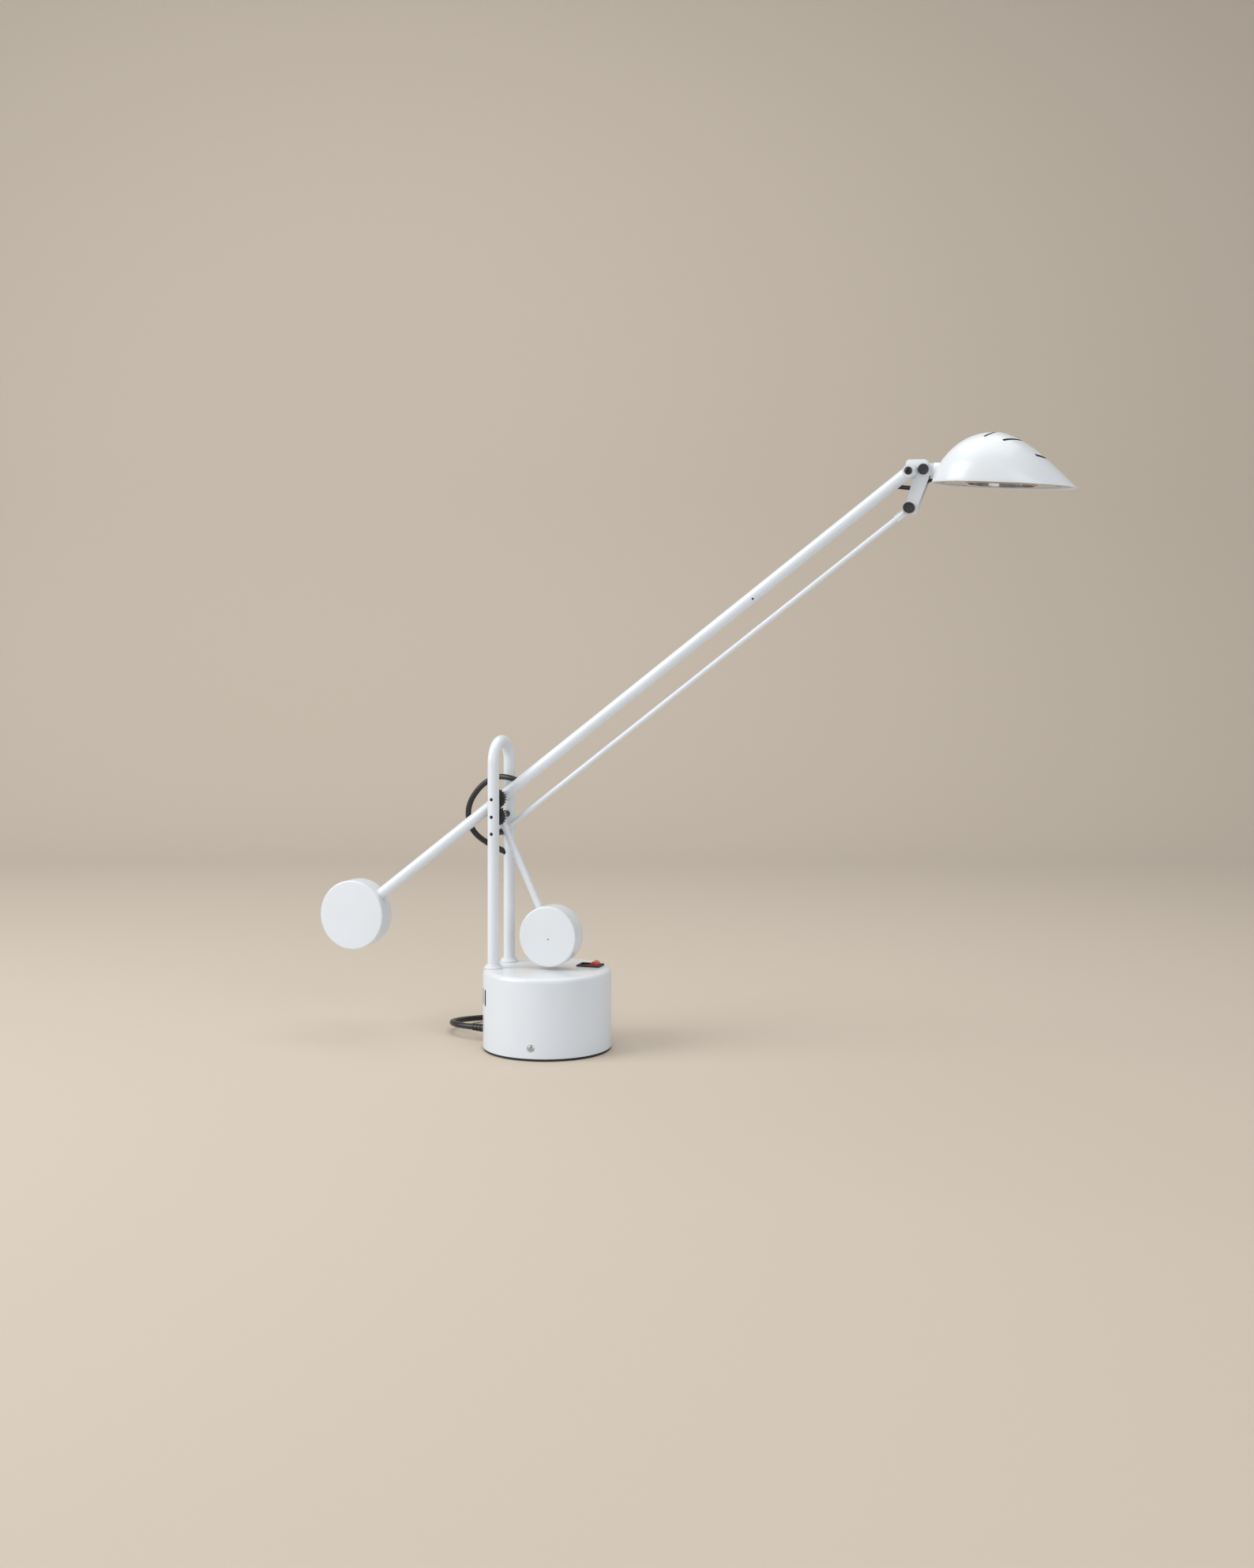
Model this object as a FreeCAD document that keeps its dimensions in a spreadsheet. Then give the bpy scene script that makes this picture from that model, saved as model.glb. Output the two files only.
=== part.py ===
# Counterweight balance desk lamp, in millimetres.
# Origin: centre of the foot on the table. +X points from the hoop to the head, +Y along the
# axles away from the viewer, +Z up. The arm, the lever and the link rod swing in planes y = constant.
import FreeCAD, Part
import math
import os
import re
import Sketcher
from FreeCAD import Placement, Rotation, Vector

SIZES = {
    # round base
    "base_radius": 55.0,
    "base_height": 68.5,
    "base_wall": 2.0,
    "base_top_wall": 3.0,
    "base_rim_radius": 2.2,
    "foot_thickness": 2.0,
    "plate_thickness": 1.6,
    "plate_flange_height": 14.0,
    "plate_gap": 0.15,
    "side_screw_height": 10.5,
    "side_screw_radius": 1.5,
    "side_screw_head_radius": 2.9,
    "side_screw_length": 8.0,
    "vent_width": 3.6,
    "vent_height": 14.0,
    "vent_bottom": 39.0,
    # transformer and terminals inside the base
    "core_length": 48.0,
    "core_width": 20.0,
    "core_height": 40.0,
    "core_leg": 8.0,
    "core_centre_x": 8.0,
    "core_centre_y": -9.0,
    "winding_overhang": 7.0,
    "terminal_length": 22.0,
    "terminal_width": 9.0,
    "terminal_height": 11.0,
    # rocker switch
    "switch_x": 32.0,
    "switch_y": 20.0,
    "switch_length": 21.0,
    "switch_width": 15.0,
    "switch_flange": 1.5,
    "switch_wall": 1.1,
    "switch_depth": 18.0,
    "rocker_length": 15.4,
    "rocker_width": 10.6,
    "rocker_rise": 4.6,
    "rocker_tilt": 11.0,
    "trunnion_radius": 1.2,
    # hoop: a bent tube with two legs
    "tube_radius": 5.0,
    "tube_bore_radius": 4.0,
    "leg_offset": 42.5,
    "leg_spacing": 35.5,
    "hoop_above_axle": 54.0,
    "collar_radius": 7.7,
    "collar_height": 3.4,
    "nut_radius": 6.3,
    "nut_height": 6.0,
    "leg_below_nut": 3.0,
    # axles, gears and spacers between the legs
    "axle_above_base": 144.5,
    "gear_distance": 15.0,
    "link_drop": 29.5,
    "axle_radius": 1.5,
    "axle_recess": 1.3,
    "gear_teeth": 20,
    "gear_face": 5.0,
    "gear_backlash": 0.2,
    "spacer_radius": 2.8,
    "hub_radius": 4.5,
    "running_fit": 0.05,
    "side_gap": 0.3,
    # arm with its large weight
    "arm_rise": 37.5,
    "arm_length": 447.5,
    "arm_tail": 176.0,
    "large_weight_radius": 30.5,
    "weight_width": 20.0,
    "weight_edge": 1.0,
    "rod_seat_depth": 14.0,
    "bush_radius": 2.6,
    "end_bush_radius": 2.6,
    "end_knuckle_depth": 4.9,
    "end_plug_length": 14.0,
    "set_screw_radius": 1.2,
    # lever with its small weight
    "lever_lean": 25.2,
    "lever_length": 111.7,
    "lever_radius": 3.0,
    "lever_plane": -3.4,
    "lever_seat_past_middle": 6.0,
    "lever_screw_radius": 0.8,
    "small_weight_radius": 25.75,
    # link rod
    "link_radius": 2.25,
    "link_drum_width": 4.9,
    "link_plane": 2.4,
    "eye_radius": 4.2,
    "eye_thickness": 3.0,
    # bracket at the end of the arm
    "bracket_plane": 11.2,
    "bracket_width": 9.2,
    "bracket_sheet": 1.2,
    "hinge_forward": 10.0,
    "hinge_rise": 1.9,
    "knob_radius": 4.6,
    "hinge_knob_thickness": 1.8,
    "pivot_head_radius": 3.2,
    "pivot_head_thickness": 1.4,
    # head
    "neck_radius": 6.0,
    "tongue_half_height": 5.1,
    "neck_start": 8.0,
    "neck_end": 20.0,
    "head_droop": 3.3,
    "head_length": 114.8,
    "head_half_width": 42.0,
    "head_height": 42.2,
    "crown_back": 50.0,
    "rim_back": 7.2,
    "rim_drop": 10.9,
    "shell_wall": 1.6,
    "crown_slot_width": 2.2,
    "crown_slot_reach": 22.0,
    "crown_slot_bow": 34.0,
    "crown_slot_first": 50.6,
    "crown_slot_pitch": 19.4,
    "trim_thickness": 1.2,
    "trim_recess": 0.8,
    "lamp_opening_radius": 26.3,
    "lamp_centre": 62.0,
    "glass_thickness": 2.0,
    "reflector_height": 22.0,
    "reflector_wall": 0.8,
    "capsule_radius": 4.5,
    "holder_radius": 7.0,
    "holder_height": 9.0,
    "trim_screw_radius": 2.0,
    # leads
    "lead_radius": 2.5,
    "end_lead_radius": 1.8,
    "head_lead_radius": 1.3,
    "lead_exit_height": 10.0,
    "lead_exit_angle": 170.0,
    "sleeve_length": 25.0,
    "sleeve_root_radius": 3.8,
    "arm_lead_hole_drop": 49.0,
    "coil_inner_radius": 19.0,
    "coil_gap": 0.45,
    "coil_centre_x": -38.3,
    "coil_centre_y": 97.9,
    "coil_start_angle": 158.0,
    "tie_thickness": 0.7,
    "tie_width": 8.0,
    "plug_length": 36.0,
    "plug_width": 35.0,
    "plug_thickness": 14.0,
    "plug_sleeve_length": 24.0,
    "pin_radius": 2.0,
    "pin_length": 19.0,
    "pin_spacing": 19.0,
}

DERIVED = {
    "axle_height": "(base_height + axle_above_base)",
    "hoop_height": "(base_height + axle_above_base + hoop_above_axle)",
    "arm_lead_hole_height": "(base_height + axle_above_base - arm_lead_hole_drop)",
}

ORIGIN = Vector(0, 0, 0)
X, Y, Z = Vector(1, 0, 0), Vector(0, 1, 0), Vector(0, 0, 1)

doc = FreeCAD.newDocument("BalanceLamp")
sheet = doc.addObject("Spreadsheet::Sheet", "Sizes")
for row, (alias, size) in enumerate(SIZES.items(), start=1):
    sheet.set("A%d" % row, alias)
    sheet.set("B%d" % row, str(size))
    sheet.setAlias("B%d" % row, alias)
doc.recompute()

parts = {}


# ---------------------------------------------------------------- helpers

def bound(text):
    """An expression in plain size names, with each name pointed at its cell."""
    text = re.sub(r"[a-z_]{3,}", lambda m: DERIVED.get(m.group(), m.group()), str(text))
    return re.sub(r"[a-z_]{3,}", lambda m: "Sizes." + m.group() if m.group() in SIZES else m.group(), text)


def size(text):
    """The value of an expression in size names, in millimetres or degrees."""
    return float(sheet.evalExpression(bound(text)))


def bind(thing, **expressions):
    for name, text in expressions.items():
        thing.setExpression(name, bound(text))
    return thing


def keep(name, thing):
    """Declare a finished sub-part: its label is its node's name."""
    thing.Label = name
    parts[name] = thing
    return thing


def place(thing, x=0, y=0, z=0, rotation=None):
    """Bind a position to size expressions and turn the piece."""
    if rotation is not None:
        thing.Placement = Placement(ORIGIN, rotation)
    for axis, text in (("x", x), ("y", y), ("z", z)):
        thing.setExpression(".Placement.Base." + axis, bound(text))
    return thing


ALONG = {"x": Rotation(Y, 90), "y": Rotation(X, -90), "z": Rotation()}


def cylinder(name, radius, length, x=0, y=0, z=0, along="z"):
    """A cylinder from (x, y, z) towards +axis."""
    thing = bind(doc.addObject("Part::Cylinder", name), Radius=radius, Height=length)
    return place(thing, x, y, z, ALONG[along])


def box(name, length, width, height, x=0, y=0, z=0):
    """A box centred on x and y that stands on z."""
    thing = bind(doc.addObject("Part::Box", name), Length=length, Width=width, Height=height)
    return place(thing, "(%s) - (%s) / 2" % (x, length), "(%s) - (%s) / 2" % (y, width), z)


def fuse(name, *pieces):
    thing = doc.addObject("Part::MultiFuse", name)
    thing.Shapes = list(pieces)
    thing.Refine = True
    return thing


def cut(name, base, *tools):
    thing = doc.addObject("Part::Cut", name)
    thing.Base = base
    thing.Tool = tools[0] if len(tools) == 1 else fuse(name + "_tools", *tools)
    return thing


def group(name, *pieces):
    """Separate solids that share one node."""
    thing = doc.addObject("Part::Compound", name)
    thing.Links = list(pieces)
    return thing


def fixed(name, shape):
    """A shape made directly, where neither a primitive nor a body fits."""
    thing = doc.addObject("Part::Feature", name)
    thing.Shape = shape
    return thing


def turned(thing, pivot, degrees):
    """Swing a piece that was built round the origin to its pivot, by an angle about +Y."""
    if any("Placement" in path for path, text in thing.ExpressionEngine):
        thing = group(thing.Name + "_set", thing)
    thing.Placement = Placement(pivot, Rotation(Y, degrees))
    return thing


def rounded(name, thing, radius, wanted):
    """Fillet the edges that the test names."""
    doc.recompute()
    fillet = doc.addObject("Part::Fillet", name)
    fillet.Base = thing
    fillet.Edges = [(i, radius, radius) for i, edge in enumerate(thing.Shape.Edges, start=1) if wanted(edge)]
    return fillet


def is_circle(edge, radius):
    return isinstance(edge.Curve, Part.Circle) and abs(edge.Curve.Radius - radius) < 1e-4


def origin_plane(body, role):
    return next(f for f in body.Origin.OriginFeatures if f.Role == role)


def outline(body, role, corners):
    """A closed outline on one of the body's own planes, each corner bound to size expressions."""
    sketch = body.newObject("Sketcher::SketchObject", body.Name + "_outline")
    sketch.AttachmentSupport = [(origin_plane(body, role), "")]
    sketch.MapMode = "FlatFace"
    points = [Vector(size(x), size(y), 0) for x, y in corners]
    count = len(points)
    for i in range(count):
        sketch.addGeometry(Part.LineSegment(points[i], points[(i + 1) % count]), False)
    for i in range(count):
        sketch.addConstraint(Sketcher.Constraint("Coincident", i, 2, (i + 1) % count, 1))
    for i, (x, y) in enumerate(corners):
        for kind, letter, text, start in (("DistanceX", "x", x, points[i].x), ("DistanceY", "y", y, points[i].y)):
            label = "%s%d" % (letter, i)
            index = sketch.addConstraint(Sketcher.Constraint(kind, -1, 1, i, 1, start))
            sketch.renameConstraint(index, label)
            sketch.setExpression("Constraints." + label, bound(text))
    return sketch


def revolved(name, corners):
    """A body turned about its own Z axis from an outline in (radius, height)."""
    body = doc.addObject("PartDesign::Body", name)
    profile = outline(body, "XZ_Plane", corners)
    turn = body.newObject("PartDesign::Revolution", name + "_turn")
    turn.Profile = profile
    turn.ReferenceAxis = (profile, ["V_Axis"])
    turn.Angle = 360
    return body


def padded(name, role, corners, length):
    """A body padded both ways from an outline on one of its planes."""
    body = doc.addObject("PartDesign::Body", name)
    pad = body.newObject("PartDesign::Pad", name + "_pad")
    pad.Profile = outline(body, role, corners)
    pad.Midplane = True
    bind(pad, Length=length)
    return body


def arc_edge(start, tangent, end):
    """The circular edge from start, leaving along tangent, to end."""
    chord = end - start
    side = chord - tangent * chord.dot(tangent)
    if side.Length < 1e-6:
        return Part.LineSegment(start, end).toShape()
    side.normalize()
    radius = chord.Length ** 2 / (2 * side.dot(chord))
    centre = start + side * radius
    middle = (start - centre) + (end - centre)
    middle.normalize()
    return Part.Arc(start, centre + middle * radius, end).toShape()


def biarc(start, leaving, end, arriving):
    """Two tangent arcs from start to end with the given directions."""
    chord = end - start
    both = leaving + arriving
    spread = 2 * (1 - leaving.dot(arriving))
    reach = (-chord.dot(both) + math.sqrt(chord.dot(both) ** 2 + spread * chord.dot(chord))) / spread
    joint = (start + end + (leaving - arriving) * reach) / 2
    second = arc_edge(end, arriving * -1, joint)
    return [arc_edge(start, leaving, joint), Part.Wire(second).Edges[0]]


def route_edges(name, points):
    """Straight runs joined by tangent arcs, each as large as its two runs allow."""
    points = [Vector(*p) for p in points]
    edges, radii = [], []
    last = points[0]
    for before, corner, after in zip(points, points[1:], points[2:]):
        inward, outward = corner - before, after - corner
        half_turn = inward.getAngle(outward) / 2
        reach = 0.45 * min(inward.Length, outward.Length)
        radii.append(reach / math.tan(half_turn))
        arc_start = corner - inward.normalize() * reach
        arc_end = corner + outward.normalize() * reach
        edges.append(Part.LineSegment(last, arc_start).toShape())
        edges.append(arc_edge(arc_start, inward, arc_end))
        last = arc_end
    edges.append(Part.LineSegment(last, points[-1]).toShape())
    print("%s: arc radii %s mm" % (name, " ".join("%.0f" % r for r in radii)))
    return edges


def tube_along(name, edges, radius):
    """A solid round tube along tangent edges, with its volume checked against section times length."""
    path = Part.Wire(Part.__sortEdges__(edges))
    start = path.OrderedVertexes[0].Point
    first = path.OrderedEdges[0]
    tangent = first.tangentAt(first.FirstParameter)
    if (first.valueAt(first.FirstParameter) - start).Length > 1e-6:
        tangent = first.tangentAt(first.LastParameter) * -1
    section = Part.Wire(Part.makeCircle(radius, start, tangent))
    tube = path.makePipeShell([section], True, False)
    ratio = tube.Volume / (math.pi * radius ** 2 * path.Length)
    print("%s: length %.1f mm, volume / (section x length) %.4f" % (name, path.Length, ratio))
    return tube


# ---------------------------------------------------------------- places shared by several pieces

LEG_INNER_FACE = "(leg_spacing / 2 - tube_radius)"
GEAR_FRONT = "(-(leg_spacing / 2 - tube_radius) + side_gap)"
GEAR_BACK = "(-(leg_spacing / 2 - tube_radius) + side_gap + gear_face)"
LEG_X = size("-leg_offset")
UPPER_PIVOT = Vector(LEG_X, 0, size("axle_height"))
MIDDLE_PIVOT = Vector(LEG_X, 0, size("axle_height - gear_distance"))
LOWER_PIVOT = Vector(LEG_X, 0, size("axle_height - link_drop"))
ARM_ANGLE = size("arm_rise")
ARM_DIRECTION = Vector(math.cos(math.radians(ARM_ANGLE)), 0, math.sin(math.radians(ARM_ANGLE)))
ARM_END = UPPER_PIVOT + ARM_DIRECTION * size("arm_length")
LINK_END = LOWER_PIVOT + ARM_DIRECTION * size("arm_length")
HEAD_HINGE = ARM_END + Vector(size("hinge_forward"), size("bracket_plane"), size("hinge_rise"))


# ---------------------------------------------------------------- base

def make_base_shell():
    """Pressed cup with a rounded rim; holes for the legs, switch, vents, side screws and lead."""
    cup = revolved("base_cup", [
        ("base_radius - base_wall", "foot_thickness"),
        ("base_radius", "foot_thickness"),
        ("base_radius", "base_height"),
        (0, "base_height"),
        (0, "base_height - base_top_wall"),
        ("base_radius - base_wall", "base_height - base_top_wall"),
    ])
    top = size("base_height")
    rim = rounded("base_rim", cup, size("base_rim_radius"),
                  lambda e: is_circle(e, size("base_radius")) and e.CenterOfMass.z > top - 0.1)
    tools = [cylinder("leg_hole_%d" % side, "tube_radius + running_fit", "base_top_wall + 2",
                      "-leg_offset", "%d * leg_spacing / 2" % side, "base_height - base_top_wall - 1")
             for side in (-1, 1)]
    tools.append(box("switch_hole", "switch_length - 2", "switch_width - 2", "base_top_wall + 2",
                     "switch_x", "switch_y", "base_height - base_top_wall - 1"))
    for index in range(5):
        vent = box("vent_%d" % index, "base_wall * 4", "vent_width", "vent_height", 0, 0, "vent_bottom")
        tools.append(around_base(vent, -141.5 - 9 * index, "base_radius"))
    for index in range(3):
        hole = cylinder("side_hole_%d" % index, "side_screw_radius + running_fit", "base_wall * 4", along="x")
        dimple = cylinder("side_dimple_%d" % index, "side_screw_head_radius + 0.3", "base_wall", along="x")
        tools.append(around_base(hole, -83 + 120 * index, "base_radius - base_wall * 2", "side_screw_height"))
        tools.append(around_base(dimple, -83 + 120 * index, "base_radius - base_wall / 2", "side_screw_height"))
    tools.append(lead_notch("shell_notch"))
    keep("base_shell", cut("base_shell", rim, *tools))


def around_base(thing, angle, radius, height=0):
    """Turn a piece built along +X about the Z axis and set it at a radius from the base's centre."""
    turn = math.radians(angle)
    move = Vector(math.cos(turn), math.sin(turn), 0) * size(radius) + Z * size(height)
    own = Placement(Vector(size_of(thing, "x"), size_of(thing, "y"), size_of(thing, "z")), thing.Placement.Rotation)
    for axis in "xyz":
        thing.setExpression(".Placement.Base." + axis, None)
    thing.Placement = Placement(move, Rotation(Z, angle)) * own
    return thing


def size_of(thing, axis):
    """The value of a position expression before the next recompute."""
    for path, text in thing.ExpressionEngine:
        if path == ".Placement.Base." + axis:
            return float(sheet.evalExpression(text))
    return getattr(thing.Placement.Base, axis)


def lead_notch(name):
    """The slot in the base's lower edge that the mains lead's gland fills."""
    notch = box(name, "base_wall * 4", "sleeve_root_radius * 2 + 2",
                "lead_exit_height + sleeve_root_radius + 1 - foot_thickness", 0, 0, "foot_thickness")
    return around_base(notch, size("lead_exit_angle"), "base_radius - base_wall")


def make_base_plate():
    """Steel tray that closes the base, with a flange for the side screws."""
    tray = revolved("plate_tray", [
        (0, "foot_thickness"),
        ("base_radius - base_wall - plate_gap", "foot_thickness"),
        ("base_radius - base_wall - plate_gap", "foot_thickness + plate_flange_height"),
        ("base_radius - base_wall - plate_gap - plate_thickness", "foot_thickness + plate_flange_height"),
        ("base_radius - base_wall - plate_gap - plate_thickness", "foot_thickness + plate_thickness"),
        (0, "foot_thickness + plate_thickness"),
    ])
    tools = [around_base(cylinder("flange_hole_%d" % index, "side_screw_radius", "base_wall * 4", along="x"),
                         -83 + 120 * index, "base_radius - base_wall * 4", "side_screw_height")
             for index in range(3)]
    tools.append(lead_notch("plate_notch"))
    keep("base_plate", cut("base_plate", tray, *tools))


def make_foot_pad():
    keep("foot_pad", cylinder("foot_pad", "base_radius - 0.4", "foot_thickness"))


def make_side_screws():
    """Three round-headed cross-slot screws sunk in their dimples."""
    screws = []
    for index in range(3):
        head = cylinder("side_head_%d" % index, "side_screw_head_radius", "base_wall / 2 - 0.2",
                        "side_screw_length - base_wall / 2", along="x")
        shank = cylinder("side_shank_%d" % index, "side_screw_radius", "side_screw_length", along="x")
        slots = [box("side_slot_%d_%d" % (index, i), "base_wall", w, h, "side_screw_length - 0.2 + base_wall / 2",
                     0, "-(%s) / 2" % h)
                 for i, (w, h) in enumerate((("0.7", "side_screw_head_radius * 1.3"),
                                             ("side_screw_head_radius * 1.3", "0.7")))]
        screw = cut("side_screw_%d" % index, fuse("side_blank_%d" % index, head, shank), *slots)
        screws.append(around_base(screw, -83 + 120 * index, "base_radius - side_screw_length",
                                  "side_screw_height"))
    keep("base_screws", group("base_screws", *screws))


def make_transformer():
    """Laminated core with two windows, and the winding round its middle leg."""
    floor = "foot_thickness + plate_thickness"
    block = box("core_block", "core_length", "core_width", "core_height", "core_centre_x", "core_centre_y", floor)
    windows = [box("core_window_%d" % side, "core_leg", "core_width + 2", "core_height - core_leg * 2",
                   "core_centre_x + %d * core_leg * 1.5" % side, "core_centre_y", floor + " + core_leg")
               for side in (-1, 1)]
    keep("transformer_core", cut("transformer_core", block, *windows))
    outer = box("winding_outer", "core_leg * 4", "core_width + winding_overhang * 2", "core_height - core_leg * 2",
                "core_centre_x", "core_centre_y", floor + " + core_leg")
    inner = box("winding_inner", "core_leg * 2", "core_width", "core_height", "core_centre_x", "core_centre_y", floor)
    keep("transformer_winding", cut("transformer_winding", outer, inner))


def make_terminal_block():
    floor = "foot_thickness + plate_thickness"
    x, y = "core_centre_x - core_length / 2 + terminal_length / 2", "core_centre_y + core_width + winding_overhang + 12"
    block = box("terminal_body", "terminal_length", "terminal_width", "terminal_height", x, y, floor)
    wells = [cylinder("terminal_well_%d" % i, "1.8", "terminal_height",
                      "%s + %s" % (x, step), y, floor + " + terminal_height - 5")
             for i, step in enumerate(("-terminal_length / 3", "0", "terminal_length / 3"))]
    keep("terminal_block", cut("terminal_block", block, *wells))


# ---------------------------------------------------------------- switch

ROCKER_AXIS_HEIGHT = "(base_height + switch_flange - 2.4)"


def make_switch():
    """Flanged housing with an open well, and the rocker on its two trunnions."""
    flange = box("switch_flange_plate", "switch_length", "switch_width", "switch_flange",
                 "switch_x", "switch_y", "base_height")
    body = box("switch_body", "switch_length - 2.4", "switch_width - 2.4", "switch_depth",
               "switch_x", "switch_y", "base_height - switch_depth")
    well = box("switch_well", "rocker_length + 1.9", "rocker_width + 0.7", "switch_depth",
               "switch_x", "switch_y", "base_height - switch_depth / 2 + 1")
    pivot = cylinder("switch_pivot", "trunnion_radius + running_fit", "rocker_width + 1.6",
                     "switch_x", "switch_y - rocker_width / 2 - 0.8", ROCKER_AXIS_HEIGHT, "y")
    keep("switch_housing", cut("switch_housing", fuse("switch_blank", flange, body), well, pivot))
    rocker = padded("rocker_block", "XZ_Plane", [
        ("-rocker_length / 2", 0),
        ("-rocker_length / 3", -3.6),
        ("rocker_length / 3", -3.6),
        ("rocker_length / 2", 0),
        ("rocker_length / 2", "rocker_rise - 0.6"),
        ("rocker_length / 2 - 0.6", "rocker_rise"),
        (0, "rocker_rise - 3"),
        ("-rocker_length / 2 + 0.6", "rocker_rise"),
        ("-rocker_length / 2", "rocker_rise - 0.6"),
    ], "rocker_width")
    trunnions = cylinder("trunnions", "trunnion_radius", "rocker_width + 1.2", 0, "-rocker_width / 2 - 0.6", 0, "y")
    pivot_point = Vector(size("switch_x"), size("switch_y"), size(ROCKER_AXIS_HEIGHT))
    whole = fuse("switch_rocker", rocker, trunnions)
    keep("switch_rocker", turned(whole, pivot_point, -size("rocker_tilt")))


# ---------------------------------------------------------------- hoop and axles

def leg_spots():
    return [(side, "%d * leg_spacing / 2" % side) for side in (-1, 1)]


def hoop_solid(name, radius):
    """Two legs joined by half a ring, all of one radius."""
    bottom = "base_height - base_top_wall - nut_height - leg_below_nut"
    bend_height = "hoop_height - tube_radius - leg_spacing / 2"
    legs = [cylinder("%s_leg_%d" % (name, side), radius, "%s - (%s)" % (bend_height, bottom), "-leg_offset", y, bottom)
            for side, y in leg_spots()]
    bend = bind(doc.addObject("Part::Torus", name + "_bend"), Radius1="leg_spacing / 2", Radius2=radius)
    bend.Angle3 = 180
    place(bend, "-leg_offset", 0, bend_height, Rotation(Y, Z, X, "XYZ"))
    return fuse(name, *legs, bend)


def make_hoop():
    """Bent tube with bores for the three axles and the hole that the arm's lead leaves by."""
    tools = [hoop_solid("hoop_bore", "tube_bore_radius")]
    for index, height in enumerate(axle_heights()):
        tools.append(cylinder("hoop_axle_bore_%d" % index, "axle_radius + 0.02", "leg_spacing + tube_radius * 3",
                              "-leg_offset", "-(leg_spacing + tube_radius * 3) / 2", height, "y"))
    hole = Part.makeCylinder(size("lead_radius + 0.4"), 12, arm_lead_points()[0], arm_lead_points()[1] - arm_lead_points()[0])
    tools.append(fixed("hoop_lead_hole", hole))
    keep("hoop", cut("hoop", hoop_solid("hoop_tube", "tube_radius"), *tools))


def axle_heights():
    return ["axle_height", "axle_height - gear_distance", "axle_height - link_drop"]


def make_collars_and_nuts():
    """A stepped ring on the base round each leg, and a ring nut under the base's top."""
    collars, nuts = [], []
    for side, y in leg_spots():
        ring = cylinder("collar_ring_%d" % side, "collar_radius", "collar_height / 2", "-leg_offset", y, "base_height")
        lip = cylinder("collar_lip_%d" % side, "collar_radius - 1", "collar_height", "-leg_offset", y, "base_height")
        bore = cylinder("collar_bore_%d" % side, "tube_radius + 0.02", "collar_height + 2",
                        "-leg_offset", y, "base_height - 1")
        collars.append(cut("collar_%d" % side, fuse("collar_blank_%d" % side, ring, lip), bore))
        under = "base_height - base_top_wall - nut_height"
        nut = cylinder("nut_ring_%d" % side, "nut_radius", "nut_height", "-leg_offset", y, under)
        hole = cylinder("nut_bore_%d" % side, "tube_radius + 0.02", "nut_height + 2", "-leg_offset", y, under + " - 1")
        nuts.append(cut("nut_%d" % side, nut, hole))
    keep("hoop_collars", group("hoop_collars", *collars))
    keep("hoop_nuts", group("hoop_nuts", *nuts))


def make_axles():
    """Three pins across the legs; their ends lie sunk in the legs' outer walls."""
    length = "leg_spacing + tube_radius * 2 - axle_recess * 2"
    for name, height in zip(("axle_upper", "axle_middle", "axle_lower"), axle_heights()):
        keep(name, cylinder(name, "axle_radius", length, "-leg_offset", "-(%s) / 2" % length, height, "y"))


def make_spacers():
    """Dark tubes on the axles that keep the moving pieces apart from the legs."""
    upper, middle, lower = axle_heights()
    far_face = LEG_INNER_FACE
    spans = [
        (upper, "tube_radius + 1.9 + side_gap", far_face),
        (middle, "lever_plane + lever_radius + 0.4 + side_gap", far_face),
        (lower, "-" + far_face, "link_plane - link_drum_width / 2 - side_gap"),
        (lower, "link_plane + link_drum_width / 2 + side_gap", far_face),
    ]
    spacers = []
    for index, (height, start, end) in enumerate(spans):
        length = "(%s) - (%s)" % (end, start)
        tube = cylinder("spacer_tube_%d" % index, "spacer_radius", length, "-leg_offset", start, height, "y")
        bore = cylinder("spacer_bore_%d" % index, "axle_radius + 0.02", length, "-leg_offset", start, height, "y")
        spacers.append(cut("spacer_%d" % index, tube, bore))
    keep("axle_spacers", group("axle_spacers", *spacers))


# ---------------------------------------------------------------- gears

def tooth_corners():
    """Half the corners of one involute tooth on the +X axis, from root to tip."""
    teeth = size("gear_teeth")
    pitch_radius = size("gear_distance / 2")
    module = 2 * pitch_radius / teeth
    base_circle = pitch_radius * math.cos(math.radians(20))
    involute = lambda angle: math.tan(angle) - angle
    half_pitch = math.pi / (2 * teeth) - size("gear_backlash") / (4 * pitch_radius)
    corners = [(pitch_radius - 1.5 * module, half_pitch + involute(math.radians(20)))]
    for radius in (base_circle + 0.01, pitch_radius, pitch_radius + 0.5 * module, pitch_radius + 0.93 * module):
        pressure = math.acos(base_circle / radius)
        corners.append((radius, half_pitch + involute(math.radians(20)) - involute(pressure)))
    return corners


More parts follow.
